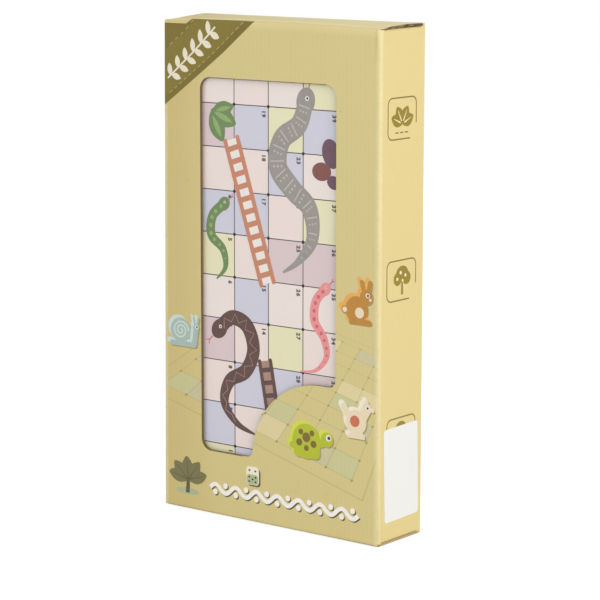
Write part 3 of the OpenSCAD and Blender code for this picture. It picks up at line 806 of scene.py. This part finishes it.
def boardPaper():
    def recipe(tree):
        place = tree.place()
        x, y, z = tree.split(place)
        side, last = board["square"], board["count"] - 0.5
        u = (x - left) / mm
        # The far half faces the other way, so its squares are counted over the fold
        u = tree.node("ShaderNodeMix", {"data_type": "FLOAT"}, {0: y > 0, 2: u, 3: 2 * fold - u})
        across = tree.floor((u - board["firstAcross"]) / side)
        down = tree.floor((board["firstUp"] - z / mm) / side)
        pick = across * across + across * 3 + down * 2 + tree.floor(across * down * 0.5)
        pick = tree.remainder(pick, len(squareColors))
        beyond = tree.most(tree.most(across < 0, across > last), tree.most(down < 0, down > last))
        grain = tree.noise(place, 900, 3, 0.6, (1, 1, 0.15))
        color = tree.over(squareColors[0], *((tree.isNear(pick, i), squareColors[i]) for i in range(1, 5)),
                          (beyond, board["margin"]), (grain * 0.08, board["fibre"]),
                          (tree.noise(place, 14, 2, 0.5) * 0.08, board["worn"]))
        return {"color": color, "height": grain, "strength": 0.25, "depth": 0.04 * mm, "roughness": grain * 0.1 + 0.4}
    return finish("board paper", recipe)


def digitMeshes():
    meshes = []
    for digit in "0123456789":
        text = bpy.data.curves.new(digit, "FONT")
        text.body, text.size, text.resolution_u = digit, board["digit"], 2
        text.extrude, text.offset = board["digitThick"] / 2, board["bold"]
        mesh = plainMesh(linked(digit, text))
        shape = bmesh.new()
        shape.from_mesh(mesh)
        bmesh.ops.remove_doubles(shape, verts=shape.verts, dist=1e-5)
        shape.to_mesh(mesh)
        shape.free()
        meshes.append(mesh)
    return meshes


def printNumbers(name, face, digits, columns):
    piece = Print(name, face, "board_print")
    spots = []
    for c in columns:
        for r in range(board["count"]):
            number = 10 * c + r + 1 if c % 2 == 0 else 10 * (c + 1) - r
            u = board["firstAcross"] + (c + 1) * board["square"] - board["numberRight"]
            u -= board["digit"] * board["digitRise"]
            v = board["firstUp"] - r * board["square"] - board["numberDown"]
            spots += [(digits[int(d)], u, v - i * board["spacing"]) for i, d in enumerate(str(number))]
    piece.addMeshes("dark", spots)
    piece.done()


# A snake's marks: how many points of the line lie between them, and their reach as a share of the width there
snakeMarks = {"zigzag": (3, 0.27), "bands": (5, 0.34), "dots": (4, 0.2)}
snakeHead = {"long": 0.76, "wide": 0.62, "tongue": 0.7 * 1.7, "fork": 0.7 * 0.5, "forkTurn": math.degrees(0.6)}


def drawSnake(piece, body, mark, points, widths, marks, tongue=None):
    line = curve(points, 10)
    (x, y), (a, b) = line[0], line[2]
    away = math.degrees(math.atan2(y - b, x - a))
    long, wide, reach, fork, forkTurn = snakeHead.values()
    neck = widths[0]
    if tongue:
        tip = turned([(neck * reach, 0)], x, y, away)[0]
        forks = [strip([tip, turned([(neck * fork, 0)], *tip, away + turn)[0]], [0.6, 0.4])
                 for turn in (-forkTurn, forkTurn)]
        piece.add(tongue, 1, [strip([(x, y), tip], [0.7]), *forks])
    piece.add(body, 2, [strip(line, widths), disc(x, y, neck * long, neck * wide, away)])
    span = line[3:-6]
    every, share = snakeMarks[marks]

    def beside(i, share):
        # A point of the body's middle, and the way from it across the body by a share of its width
        (x, y), (a, b) = span[i], span[i + 1]
        size = math.hypot(a - x, b - y) or 1
        w = widths[min(int(i / len(span) * len(widths)), len(widths) - 1)] * share
        return x, y, -(b - y) / size * w, (a - x) / size * w, w

    if marks == "zigzag":
        zig = []
        for i in range(0, len(span) - 3, every):
            x, y, nx, ny, _ = beside(i, share if i % 2 else -share)
            zig.append((x + nx, y + ny))
        piece.add(mark, 3, [strip(zig, [0.5])])
    elif marks == "bands":
        for i in range(0, len(span) - 2, every):
            x, y, nx, ny, w = beside(i, share)
            piece.add(mark, 3, [capsule(x + nx, y + ny, x - nx, y - ny, 0.45)])
            x, y = span[min(i + 2, len(span) - 1)]
            piece.add(mark, 3, [disc(x + nx * s, y + ny * s, w * 0.17) for s in (-0.6, 0, 0.6)])
    else:
        for i in range(0, len(span) - 2, every):
            x, y, *_, w = beside(i, share)
            piece.add(mark, 3, [disc(x, y, w)])


def drawEye(piece, x, y, r):
    piece.add("white", 4, [disc(x, y, r)])
    piece.add("black", 5, [disc(x + r * 0.1, y, r * 0.5)])


def drawLadder(piece, bars, ground, start, end, gap, rail, rungs):
    (x0, y0), (x1, y1) = start, end
    size = math.hypot(x1 - x0, y1 - y0)
    nx, ny = -(y1 - y0) / size * gap / 2, (x1 - x0) / size * gap / 2
    shapes = [capsule(x0 + s * nx, y0 + s * ny, x1 + s * nx, y1 + s * ny, rail) for s in (-1, 1)]
    for i in range(rungs):
        t = (i + 0.7) / (rungs + 0.4)
        x, y = x0 + (x1 - x0) * t, y0 + (y1 - y0) * t
        shapes.append(capsule(x - nx, y - ny, x + nx, y + ny, rail * 1.1))
    piece.add(ground, 2, [strip([start, end], [gap])])
    piece.add(bars, 3, shapes)


boardArt = {
    "snakes": {
        ("grey", "pale", "bands"): ([(109, 262), (104, 248), (91, 238), (88, 222), (99, 209), (112, 198), (114, 180),
                                     (104, 166), (92, 158)], [11, 12, 13, 14, 14, 13, 11, 8, 4, 1.2]),
        ("brown", "tan", "zigzag"): ([(42, 118), (52, 126), (64, 122), (69, 108), (63, 94), (50, 86), (46, 72),
                                      (56, 60), (70, 55)], [9, 9, 10, 10, 9.5, 9, 8, 6, 4, 1]),
        ("pink", "rose", "dots"): ([(124, 151), (117, 143), (116, 131), (123, 121), (125, 110), (117, 101), (105, 99)],
                                   [6, 6, 6.5, 6, 5, 3.6, 2, 0.6]),
        ("green", "lime", "dots"): ([(46, 196), (37, 188), (36, 176), (45, 168), (47, 157), (40, 149)],
                                    [6.5, 6.5, 7, 6, 5, 3, 0.8]),
    },
    "ladders": {("terracotta", "white"): ((80, 150), (52, 236), 10, 1.5, 11),
                ("brown", "tan"): ((86, 60), (78, 102), 8.5, 1.3, 5)},
    "leaves": ((36, 252, 20, 11, -62), (36, 253, 21, 11, -22), (37, 252, 17, 9, 14)),
    "stones": (("plum", 128, 232, 6.5, 9, 18), ("stone", 121, 221, 7, 5.5, 0), ("plum", 130, 215, 5, 4, -20)),
    "farShift": 8,
}


def drawBoardArt(name, face, shift):
    def at(points): return [(x + shift, y) for x, y in points]
    piece = Print(name, face, "board_print")
    for (body, mark, marks), (points, widths) in boardArt["snakes"].items():
        drawSnake(piece, body, mark, at(points), widths, marks, "rose")
        (x, y), w = points[0], widths[0]
        drawEye(piece, x + shift + w * 0.1, y + w * 0.16, w * 0.13)
    for (rail, ground), (start, end, *rest) in boardArt["ladders"].items():
        drawLadder(piece, rail, ground, *at((start, end)), *rest)
    leaves = [(x + shift, y, *rest) for x, y, *rest in boardArt["leaves"]]
    piece.add("green", 2, [leaf(*given) for given in leaves])
    piece.add("lime", 3, [leaf(*turned([(3, 0)], x, y, tilt)[0], long * 0.7, wide * 0.3, tilt)
                          for x, y, long, wide, tilt in leaves])
    for level, (key, x, y, rx, ry, tilt) in enumerate(boardArt["stones"], 2):
        piece.add(key, level, [disc(x + shift, y, rx, ry, tilt)])
    piece.done()


def dressBoard(lattice):
    dress(boardPaper(), "front_board_print", "back_board_print")
    n, half, edge = board["count"], board["shown"], board["firstAcross"]
    side, line, dot, film = (board[key] * mm for key in ("square", "line", "dot", "film"))
    foot = board["firstUp"] * mm - n * side
    digits = digitMeshes()
    for name, face, y, first, columns, shift in (
            ("front", onBoard, boardFace - film / 2, left + edge * mm, range(half), 0),
            ("back", onFoldedBoard, foldedFace + film / 2, left + (2 * fold - edge) * mm - n * side, range(half, n),
             fold - edge + boardArt["farShift"])):
        meshes = [
            grown(form, lattice, key, across=across, up=up, start=(first + x, y, foot + z), size=size,
                  turn=(turn, 0, 0), round=turn > 0, acrossStep=(side, 0, 0), upStep=(0, 0, side))
            for form, key, across, up, x, z, size, turn in (
                ("rows", "dark", 1, n + 1, half * side / 2, 0, (half * side, film, line), 0),
                ("columns", "dark", half + 1, 1, 0, n * side / 2, (line, film, n * side), 0),
                ("dots", "black", half + 1, n + 1, 0, 0, (dot, dot, film * 1.5), math.pi / 2))]
        placeGrown(name + "BoardLines", meshes)
        printNumbers(name + "BoardNumbers", face, digits, columns)
        drawBoardArt(name + "BoardSnakes", face, shift)


# Wood, metal and paper of the case and its contents
woods = {"birch": (srgb(232, 208, 166), srgb(204, 170, 122)), "beech": (srgb(224, 188, 142), srgb(192, 150, 104)),
         "pore": srgb(140, 102, 66), "glue": srgb(120, 84, 52), "middlePly": srgb(176, 136, 92),
         "stain": srgb(120, 100, 60), "ply": 1 * mm, "drawnOut": (0.07, 0.04), "rings": 2300, "wander": 24}
metal = {"brass": srgb(214, 172, 88), "dull": srgb(170, 130, 64)}
leaflet = {"paper": srgb(246, 243, 234), "fibre": srgb(222, 216, 202), "fold": srgb(176, 168, 152),
           "edge": srgb(150, 144, 132), "sheet": 0.125 * mm}
die = {"corner": 2.2 * mm, "sunk": 0.06 * mm, "pip": srgb(48, 36, 30)}
tokens = {
    "turtle": {"tint": "lime", "mark": "brownSpot", "face": srgb(176, 198, 48), "side": srgb(206, 220, 92)},
    "rabbit": {"tint": "russet", "mark": "creamFace", "face": srgb(204, 142, 62), "side": srgb(232, 180, 104)},
    "snail": {"tint": "blue", "mark": "blueSide", "face": srgb(158, 190, 190), "side": srgb(196, 216, 212)},
    "hen": {"tint": "cream", "mark": "comb", "face": srgb(238, 226, 198), "side": srgb(244, 236, 214)},
}
tokenHeight = 34
rounding = {"token": 0.5, "rail": 0.25}
# The tokens' outlines as discs and bars, at a height of about 1
figures = {
    "turtle": {"discs": [(0.46, 0.34, 0.36), (0.98, 0.44, 0.15), (0.1, 0.22, 0.07)],
               "bars": [(0.72, 0.3, 0.96, 0.4, 0.08), (0.24, 0.1, 0.24, 0.2, 0.1), (0.7, 0.1, 0.7, 0.2, 0.1)],
               "spots": [(0.46, 0.42, 0.1), (0.28, 0.3, 0.075), (0.64, 0.3, 0.075), (0.32, 0.52, 0.06),
                         (0.6, 0.52, 0.06), (0.46, 0.2, 0.06)], "eye": (1.02, 0.48, 0.045)},
    "rabbit": {"discs": [(0.42, 0.32, 0.3), (0.68, 0.62, 0.17), (0.1, 0.3, 0.09)],
               "bars": [(0.64, 0.7, 0.56, 0.94, 0.055), (0.74, 0.7, 0.78, 0.94, 0.055), (0.3, 0.06, 0.76, 0.06, 0.06)],
               "spots": [(0.1, 0.3, 0.06), (0.5, 0.26, 0.12), (0.79, 0.57, 0.035)], "eye": (0.72, 0.66, 0.035)},
    "snail": {"discs": [(0.4, 0.44, 0.34), (0.92, 0.56, 0.1)],
              "bars": [(0.1, 0.07, 0.86, 0.07, 0.07), (0.86, 0.1, 0.92, 0.52, 0.08), (0.9, 0.6, 0.84, 0.82, 0.03),
                       (0.95, 0.6, 1, 0.82, 0.03)], "spots": [], "eye": (0.94, 0.58, 0.035)},
    "hen": {"discs": [(0.46, 0.4, 0.3), (0.76, 0.76, 0.14), (0.76, 0.91, 0.06)],
            "bars": [(0.62, 0.5, 0.76, 0.74, 0.13), (0.28, 0.46, 0.1, 0.74, 0.09), (0.86, 0.74, 0.95, 0.72, 0.035),
                     (0.34, 0.07, 0.62, 0.07, 0.07)], "spots": [(0.42, 0.42, 0.14)], "eye": (0.79, 0.78, 0.035)},
}


def grained(tree, place, kind, grain):
    # Rings and pores drawn out along one axis: gives the colour, the height and the rings alone
    pale, dark = woods[kind]
    rings, pores = (tuple(share if axis == grain else 1 for axis in "xyz") for share in woods["drawnOut"])
    long = tree.stretch(place, rings)
    x, y, z = tree.split(long)
    wander = tree.noise(long, 60, 2, 0.5) * woods["wander"]
    ring = tree.wave((x * 0.8 + y + z * 0.9) * woods["rings"] + wander) * 0.5 + 0.5
    pits = tree.smooth(tree.noise(place, 2600, 2, 0.7, pores), 0.56, 0.72)
    cloud = tree.noise(place, 30, 2, 0.5)
    color = tree.over(pale, (ring * 0.55, dark), (cloud * 0.25, dark), (pits * 0.35, woods["pore"]))
    return color, ring * 0.3 + (1 - pits), ring


def birch(name, grain, plyFrom=None):
    def recipe(tree):
        place = tree.place()
        color, height, ring = grained(tree, place, "birch", grain)
        if plyFrom is not None:
            # Of three plies the middle one is darker, and lines of glue lie between them
            ply = (tree.split(place)[1] - plyFrom) / woods["ply"]
            glue = tree.smooth(abs(ply - tree.floor(ply) - 0.5), 0.4, 0.47) * (ply > 0.5) * (ply < 2.5)
            middle = (ply > 1.02) * (ply < 1.98)
            color = tree.over(color, (middle * 0.55, woods["middlePly"]), (glue * 0.7, woods["glue"]))
        return {"color": color, "height": height, "strength": 0.35, "depth": 0.08 * mm, "roughness": ring * 0.12 + 0.48}
    return finish(name, recipe)


def brass():
    def recipe(tree):
        place = tree.place()
        brushed = tree.noise(place, 3200, 3, 0.6, (1, 1, 0.12))
        cloud = tree.noise(place, 160, 3, 0.6)
        return {"color": tree.mix(cloud * 0.6, metal["brass"], metal["dull"]), "height": brushed, "strength": 0.15,
                "depth": 0.03 * mm, "roughness": brushed * 0.18 + cloud * 0.15 + 0.16}
    return finish("brass", recipe, Metallic=1.0)


def paintedWood(name, low, high):
    # Paint on both faces and thinner paint on the sawn sides, with wood rubbed bare along the corners
    own = tokens[name]
    middle, half = (low.y + high.y) / 2, (high.y - low.y) / 2

    def recipe(tree):
        place = tree.place()
        bare, height, ring = grained(tree, place, "beech", "z")
        away = abs(tree.split(place)[1] - middle)
        patchy = tree.noise(place, 260, 4, 0.65)
        paint = tree.mix(tree.smooth(away, half - 0.9 * mm, half - 0.5 * mm), own["side"], own["face"])
        paint = tree.mix(ring * 0.12 + patchy * 0.12, paint, woods["stain"])
        rubbed = tree.smooth(away, half - 0.75 * mm, half - 0.25 * mm)
        rubbed = rubbed * (1 - tree.smooth(away, half - 0.2 * mm, half - 0.02 * mm)) * tree.smooth(patchy, 0.42, 0.62)
        return {"color": tree.mix(rubbed * 0.7, paint, bare), "height": height, "strength": 0.12, "depth": 0.05 * mm,
                "roughness": patchy * 0.2 + 0.3}
    return finish(name + " paint", recipe)


def dieWood():
    low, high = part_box("wooden_die")
    middle, half = (low + high) / 2, (high.x - low.x) / 2

    def recipe(tree):
        place = tree.place()
        color, height, ring = grained(tree, place, "birch", "z")
        x, y, z = (abs(wire - middle[i]) for i, wire in enumerate(tree.split(place)))
        sunk = half - tree.most(tree.most(x, y), z) > die["sunk"]
        corner = (x > half - die["corner"]) * (y > half - die["corner"])
        return {"color": tree.mix(sunk * (1 - corner), color, die["pip"]), "height": height, "strength": 0.3,
                "depth": 0.06 * mm, "roughness": ring * 0.1 + 0.42}
    return finish("die wood", recipe)


def leafletPaper(low, high):
    def recipe(tree):
        place = tree.place()
        _, y, z = tree.split(place)
        fibre = tree.noise(place, 1400, 4, 0.6)
        folded = 1 - tree.smooth(abs(z - (low.z + high.z) / 2), 0, 0.5 * mm)
        sheets = tree.smooth(tree.wave((y - low.y) * (2 * math.pi / leaflet["sheet"])), 0.2, 0.9)
        onEdge = (y > low.y + 0.01 * mm) * (y < high.y - 0.01 * mm)
        # Painted shade along the fold, and painted shade in lines between the sheets on the cut edges
        color = tree.over(leaflet["paper"], (fibre * 0.2, leaflet["fibre"]), (folded * 0.35, leaflet["fold"]),
                          (onEdge * sheets * 0.5, leaflet["edge"]))
        return {"color": color, "height": fibre - folded, "strength": 0.3, "depth": 0.06 * mm,
                "roughness": fibre * 0.15 + 0.6}
    return finish("leaflet paper", recipe)


def outline(name):
    figure = figures[name]
    foot = rectangle(0.22, 0, 0.72, 0.1)
    return [disc(*given) for given in figure["discs"]] + [capsule(*given) for given in figure["bars"]] + [foot]


def snailCoil():
    turns = [(0.27 * (1 - t / 26), t * 0.62) for t in range(24)]
    return strip([(0.4 + r * math.cos(a), 0.44 + r * math.sin(a)) for r, a in turns], [0.045])


def drawDetails(piece, name, level, *place):
    # A figure's spots, or the snail's coil, with the eye on the levels above
    spots = [disc(*given) for given in figures[name]["spots"]] or [snailCoil()]
    piece.add(tokens[name]["mark"], level, moved(spots, *place))
    x, y, r = figures[name]["eye"]
    piece.add("white", level + 1, moved([disc(x, y, r * 1.5)], *place))
    piece.add("black", level + 2, moved([disc(x + r * 0.2, y, r * 0.8)], *place))


def dressToken(name):
    node = name + "_token"
    low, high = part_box(node)
    dress(paintedWood(name, low, high), node)
    start = low.x / mm - min(x for shape in outline(name) for x, _ in shape) * tokenHeight
    for side, way, y in (("Front", 1, low.y), ("Back", -1, high.y)):
        def face(u, v, lift): return Vector((way * u * mm, y - way * lift * mm, low.z + v * mm))
        piece = Print(name + "Token" + side, face, tokens[name]["tint"] + "_wood")
        drawDetails(piece, name, 1, way * start, 0, tokenHeight, way)
        piece.done()


def drawBorder(piece, level, x0, y0, x1, y1, inset, outer, inner):
    piece.add("frame", level, [roundRectangle(x0, y0, x1, y1, outer)],
              [roundRectangle(x0 + inset, y0 + inset, x1 - inset, y1 - inset, inner)])


def dressLeaflet():
    low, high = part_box("rules_leaflet")
    dress(leafletPaper(low, high), "rules_leaflet")

    def face(u, v, lift): return Vector((low.x + u * mm, low.y - lift * mm, low.z + v * mm))
    piece = Print("leafletPrint", face, "leaflet_paper")
    # Four framed pictures of how a turn goes, without words
    for u, v in ((6, 78), (54, 78), (6, 6), (54, 6)):
        drawBorder(piece, 1, u, v, u + 45, v + 62, 0.8, 4, 3.3)
    piece.add("russetFace", 1, [roundRectangle(20, 96, 38, 114, 3)])
    piece.add("white", 2, [disc(u, v, 1.7) for u, v in ((25, 101), (33, 101), (29, 105), (25, 109), (33, 109))])
    drawLadder(piece, "brownSpot", "creamSide", (68, 86), (86, 130), 11, 1.3, 7)
    drawSnake(piece, "bush", "limeSide", [(18, 56), (30, 60), (38, 50), (26, 40), (20, 28), (34, 18), (44, 14)],
              [6, 6, 6, 5, 4, 2, 0.6], "dots")
    piece.add("limeFace", 1, moved([disc(0.5, 0.5, 0.42), disc(0.5, 1.05, 0.2)], 68, 18, 20))
    piece.done()


def dressContents():
    halves = ("front", "back")
    ends = [half + end for half in halves for end in ("_top_rail", "_bottom_rail")]
    sides = [half + side for half in halves for side in ("_hinge_rail", "_clasp_rail")]
    dress(birch("birch across the case", "x"), *ends)
    dress(birch("birch along the case", "z"), *sides)
    for half in halves:
        panel = half + "_board_panel"
        dress(birch(half + " plywood", "z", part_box(panel)[0].y), panel)
    fittings = [name for name in nodes if any(part in name for part in ("hinge", "screw", "clasp_"))]
    dress(brass(), *(name for name in fittings if "rail" not in name))
    for name in tokens:
        dressToken(name)
    dress(dieWood(), "wooden_die")
    dressLeaflet()
    softened(rounding["token"], *(name + "_token" for name in tokens))
    softened(rounding["rail"], *ends)


# Print on the carton, first the ribbon: its shapes, its two seams with what is left free at their ends, the line of its
# braid, and where it is cut finely enough to turn round the creases
ribbon = {"hem": [(0.05, 253.7), (71.9, 305.9), (22.6, 306), (18.7, 304.4), (0.05, 304.4)],
          "band": [(0.05, 258.4), (65.4, 306), (26.4, 306), (0.05, 287.3)],
          "seams": (((2.6, 260.1), (65, 306.4), 1.6), ((2.3, 289.2), (25.7, 306.4), 1.4)), "stitch": 4.4,
          "stitchSize": (2.5, 0.3, 0.5), "braid": ((3.6, 271), (41.5, 302)), "leaves": 6, "leaf": (7.6, 3.7),
          "tilt": 58, "topCuts": (18, 12, 6, 2, 1.5, 1, 0.6, 0.3),
          "acrossCuts": (0.2, 0.5, 1, 1.5, 2, 8, 16, 18, 22.6, 24, 32, 40, 48, 56, 64)}
# The window's cut rim, with painted shade along its top, left and lower edges: its lines, and where it starts and ends
# across
rimShade = {"left": 29.55, "foot": 40.55, "top": 272.8, "radius": 7.2, "from": 126, "to": 62,
       "widths": [0.35, 0.6, 0.75, 0.75, 0.4]}
# Where the figures stand, and their size
frontPictures = {"turtle": (98, 47, 30), "rabbit": (137.5, 133, 27), "snail": (4, 104, 23), "hen": (137.5, 64, 25)}
backPictures = {"turtle": (26, 46, 34), "rabbit": (98, 46, 34), "snail": (26, 92, 34), "hen": (100, 90, 34)}
backBoard = {"left": 32.7, "foot": 150, "across": 5, "up": 6, "square": 20, "gap": 0.4,
             "inks": ("iconPale", "pool", "creamSide", "braid")}
titleWave = {"turns": 7, "step": 16.4, "tall": 2.5, "line": 2.7, "bead": 1.8}


def drawPicture(piece, name, x, z, size):
    # A wooden figure seen a little from the side, with its shadow
    tint, flat = tokens[name]["tint"], outline(name)

    def at(dx, dz): return moved(flat, x + dx, z + dz, size)
    piece.add("shadow", 0, at(0.9, -0.7) + at(0.5, -0.4))
    piece.add(tint + "Side", 1, [shape for k in range(5) for shape in at(-0.5 * k, 0.45 * k)])
    piece.add(tint + "Face", 2, at(0, 0))
    drawDetails(piece, name, 3, x, z, size)


def drawWave(piece, x, z):
    # A plain wave with beads stands in the title's place
    turns, step, tall, line, bead = titleWave.values()
    points = [(x + t * step / 32, z + tall * math.sin(t * math.pi / 16)) for t in range(turns * 32 + 1)]
    shapes = [strip(points, [line])]
    for k in range(turns):
        shapes += [disc(x + step * (k + share), z + tall * rise, bead) for share, rise in ((0.25, -0.95), (0.75, 0.95))]
    piece.add("dusk", 0, moved(shapes, 0.8, -0.7))
    piece.add("titleWhite", 1, shapes)


def drawFrame(piece, x0, z0, x1, z1):
    # A rounded outline with a gap at its lower right corner
    loop = roundRectangle(x0, z0, x1, z1, 4)
    line = [(x1, z0 + (z1 - z0) * 0.36)] + loop[sideCount["corner"] + 1:] + [(x0 + (x1 - x0) * 0.78, z0)]
    piece.add("frame", 0, [strip(line, [0.85])])


def dressBack():
    # The back has a plain frame, the four players, and a small game that shows how it is played
    piece = Print("backPictures", onBack)
    drawBorder(piece, 0, 12, 34, width - 12, 290, 1.2, 8, 6.8)
    drawWave(piece, 25, 21)
    for name, place in backPictures.items():
        drawPicture(piece, name, *place)
    start, foot, across, up, side, gap, keys = backBoard.values()
    for c in range(across):
        for r in range(up):
            x, z = start + c * side, foot + r * side
            square = rectangle(x + gap, z + gap, x + side - gap, z + side - gap)
            piece.add(keys[(c * c + r + c * r) % len(keys)], 0, [square])
    drawSnake(piece, "bush", "limeSide", [(112, 258), (100, 252), (92, 238), (100, 224), (112, 214), (108, 198),
                                          (96, 188)], [8, 8, 9, 8, 7, 4, 1], "bands")
    drawEye(piece, 113, 259, 1.2)
    drawLadder(piece, "russetFace", "creamSide", (50, 164), (68, 232), 11, 1.5, 8)
    piece.done()


def dressLeft():
    # A standing figure and a die, each in a frame
    piece = Print("leftIcons", onLeft)
    for z in (240, 143):
        drawFrame(piece, 7, z, 37, z + 27)
    piece.add("icon", 0, [disc(22, 257, 4.5), capsule(18, 245, 18, 252, 2.4), capsule(26, 245, 26, 252, 2.4),
                          capsule(18, 252, 26, 252, 2.6)])
    piece.add("icon", 0, [roundRectangle(14, 148, 30, 164, 3)])
    piece.add("iconPale", 1, [disc(x, z, 1.5) for x, z in ((18, 152), (26, 152), (22, 156), (18, 160), (26, 160))])
    piece.done()


def dressRight():
    # Leaves, a tree and a ring, each in a frame
    piece = Print("sideFrames", onSide)
    for corners in ((7, 241.8, 34.6, 266), (7, 146.4, 35.4, 170.2), (8, 49, 36.2, 75.5)):
        drawFrame(piece, *corners)
    x, z, tilts = 21, 250.6, (22, 62, 118, 158)
    piece.add("icon", 0, [leaf(x, z, 11.4, 7.2, tilt) for tilt in tilts])
    piece.add("iconPale", 1, [strip(turned([(2, 0), (9, 0)], x, z, tilt), [0.9, 0.3]) for tilt in tilts])
    piece.add("frame", 0, [capsule(14.5 + 4.6 * k, 245.6, 17 + 4.6 * k, 245.6, 0.4) for k in range(3)])
    piece.add("icon", 0, [disc(22, 162, 6, 4.8), disc(17.6, 159.2, 4), disc(26.4, 159.2, 4),
                          strip([(22, 149.6), (22, 158.8)], [2.2, 1.6])])
    piece.add("iconPale", 1, [disc(20.4, 162.8, 1.1), disc(25.2, 160.8, 1), disc(22.4, 158, 0.9), disc(17.2, 159.2, 1)])
    piece.add("icon", 0, [disc(22, 67, 6.2)], [disc(22, 67, 3.2)])
    piece.done()


def dressRibbon(lattice):
    cuts = [((0, height - drop, 0), (0, 1, 0)) for drop in ribbon["topCuts"]]
    cuts += [((across, 0, 0), (1, 0, 0)) for across in ribbon["acrossCuts"]]
    printed("cartonRibbon", onFront, ("hem", 0, [ribbon["hem"]]), ("ribbon", 1, [ribbon["band"]]), creases=cuts)
    meshes = []
    for (ax, az), (bx, bz), trim in ribbon["seams"]:
        length = math.hypot(bx - ax, bz - az) - trim * 2
        count = int(length / ribbon["stitch"])
        turn = math.atan2(bz - az, bx - ax)
        step = Vector((math.cos(turn), 0, math.sin(turn))) * (length / count) * mm
        meshes.append(grown("stitches", lattice, "stitch", across=count, up=1, acrossStep=tuple(step), upStep=(0, 0, 1),
                            start=(left + ax * mm + step.x, front, az * mm + step.z),
                            size=tuple(part * mm for part in ribbon["stitchSize"]), turn=(0, -turn, 0)))
    placeGrown("ribbonStitches", meshes, frontPrintShift)


def drawBraid():
    # A braid of leaves stands where a ribbon would have its words
    (x0, z0), (x1, z1) = ribbon["braid"]
    turn = math.degrees(math.atan2(z1 - z0, x1 - x0))
    shapes = [strip([(x0, z0), (x1, z1)], [1.1])]
    for k in range(ribbon["leaves"]):
        share = (k + 0.35) / (ribbon["leaves"] + 0.2)
        x, z = x0 + (x1 - x0) * share, z0 + (z1 - z0) * share
        shapes += [leaf(x, z, *ribbon["leaf"], turn + ribbon["tilt"]),
                   leaf(x + 1, z + 0.8, *ribbon["leaf"], turn - ribbon["tilt"])]
    printed("ribbonBraid", onFront, ("braid", 2, shapes))


def dressFront():
    corners = roundRectangle(rimShade["left"], rimShade["foot"], 200, rimShade["top"], rimShade["radius"], 8)[18:]
    line = [(rimShade["from"], rimShade["top"])] + corners + [(rimShade["to"], rimShade["foot"])]
    # Painted shade in a line along the window's cut rim
    printed("windowRimShade", onFront, ("rimShade", 0, [strip(line, rimShade["widths"])]))
    drawBraid()
    piece = Print("cartonPictures", onFront)
    for name, place in frontPictures.items():
        drawPicture(piece, name, *place)
    piece.done()
    piece = Print("cartonOrnament", onFront)
    drawWave(piece, 36, 17)
    # A leafy bush stands in the lower left corner
    x, z, tilts = 18.6, 19, (18, 55, 95, 135, 166)
    piece.add("pool", 0, [disc(18, 11.5, 9, 2.2)])
    piece.add("stem", 1, [strip([(18, 10.5), (18.4, 17), (19, 24)], [3, 2.6, 1.6])])
    piece.add("bush", 2, [leaf(x, z, 15, 8, tilt) for tilt in tilts])
    piece.add("stem", 3, [strip(turned([(0, 0), (12, 0)], x, z, tilt), [0.7, 0.3]) for tilt in tilts])
    # A small die
    piece.add("dusk", 0, [roundRectangle(66.2, 22.6, 76.2, 34, 2.4)])
    piece.add("creamSide", 1, [roundRectangle(65, 23.5, 75, 35, 2.4)])
    piece.add("pool", 2, [roundRectangle(65.4, 23.8, 74.4, 30, 2)])
    piece.add("black", 3, [disc(x, z, 0.7, 0.6) for x, z in ((67.6, 32.6), (72.2, 32.4), (67.4, 28.4), (72.4, 28.4),
                                                             (67.4, 25.6), (72.4, 25.6), (70, 27))])
    piece.done()


def main():
    bpy.context.scene.view_settings.view_transform = "Standard"
    placeCamera()
    placeLamps()
    paintSurround()
    layFloor()
    print("camera, light and floor are set")
    lattice = latticeTree()
    dressCarton()
    dressRibbon(lattice)
    dressFront()
    dressRight()
    dressBack()
    dressLeft()
    print("carton has its print")
    dressBoard(lattice)
    print("board has its print")
    dressContents()
    print("case and contents have their finish")


main()
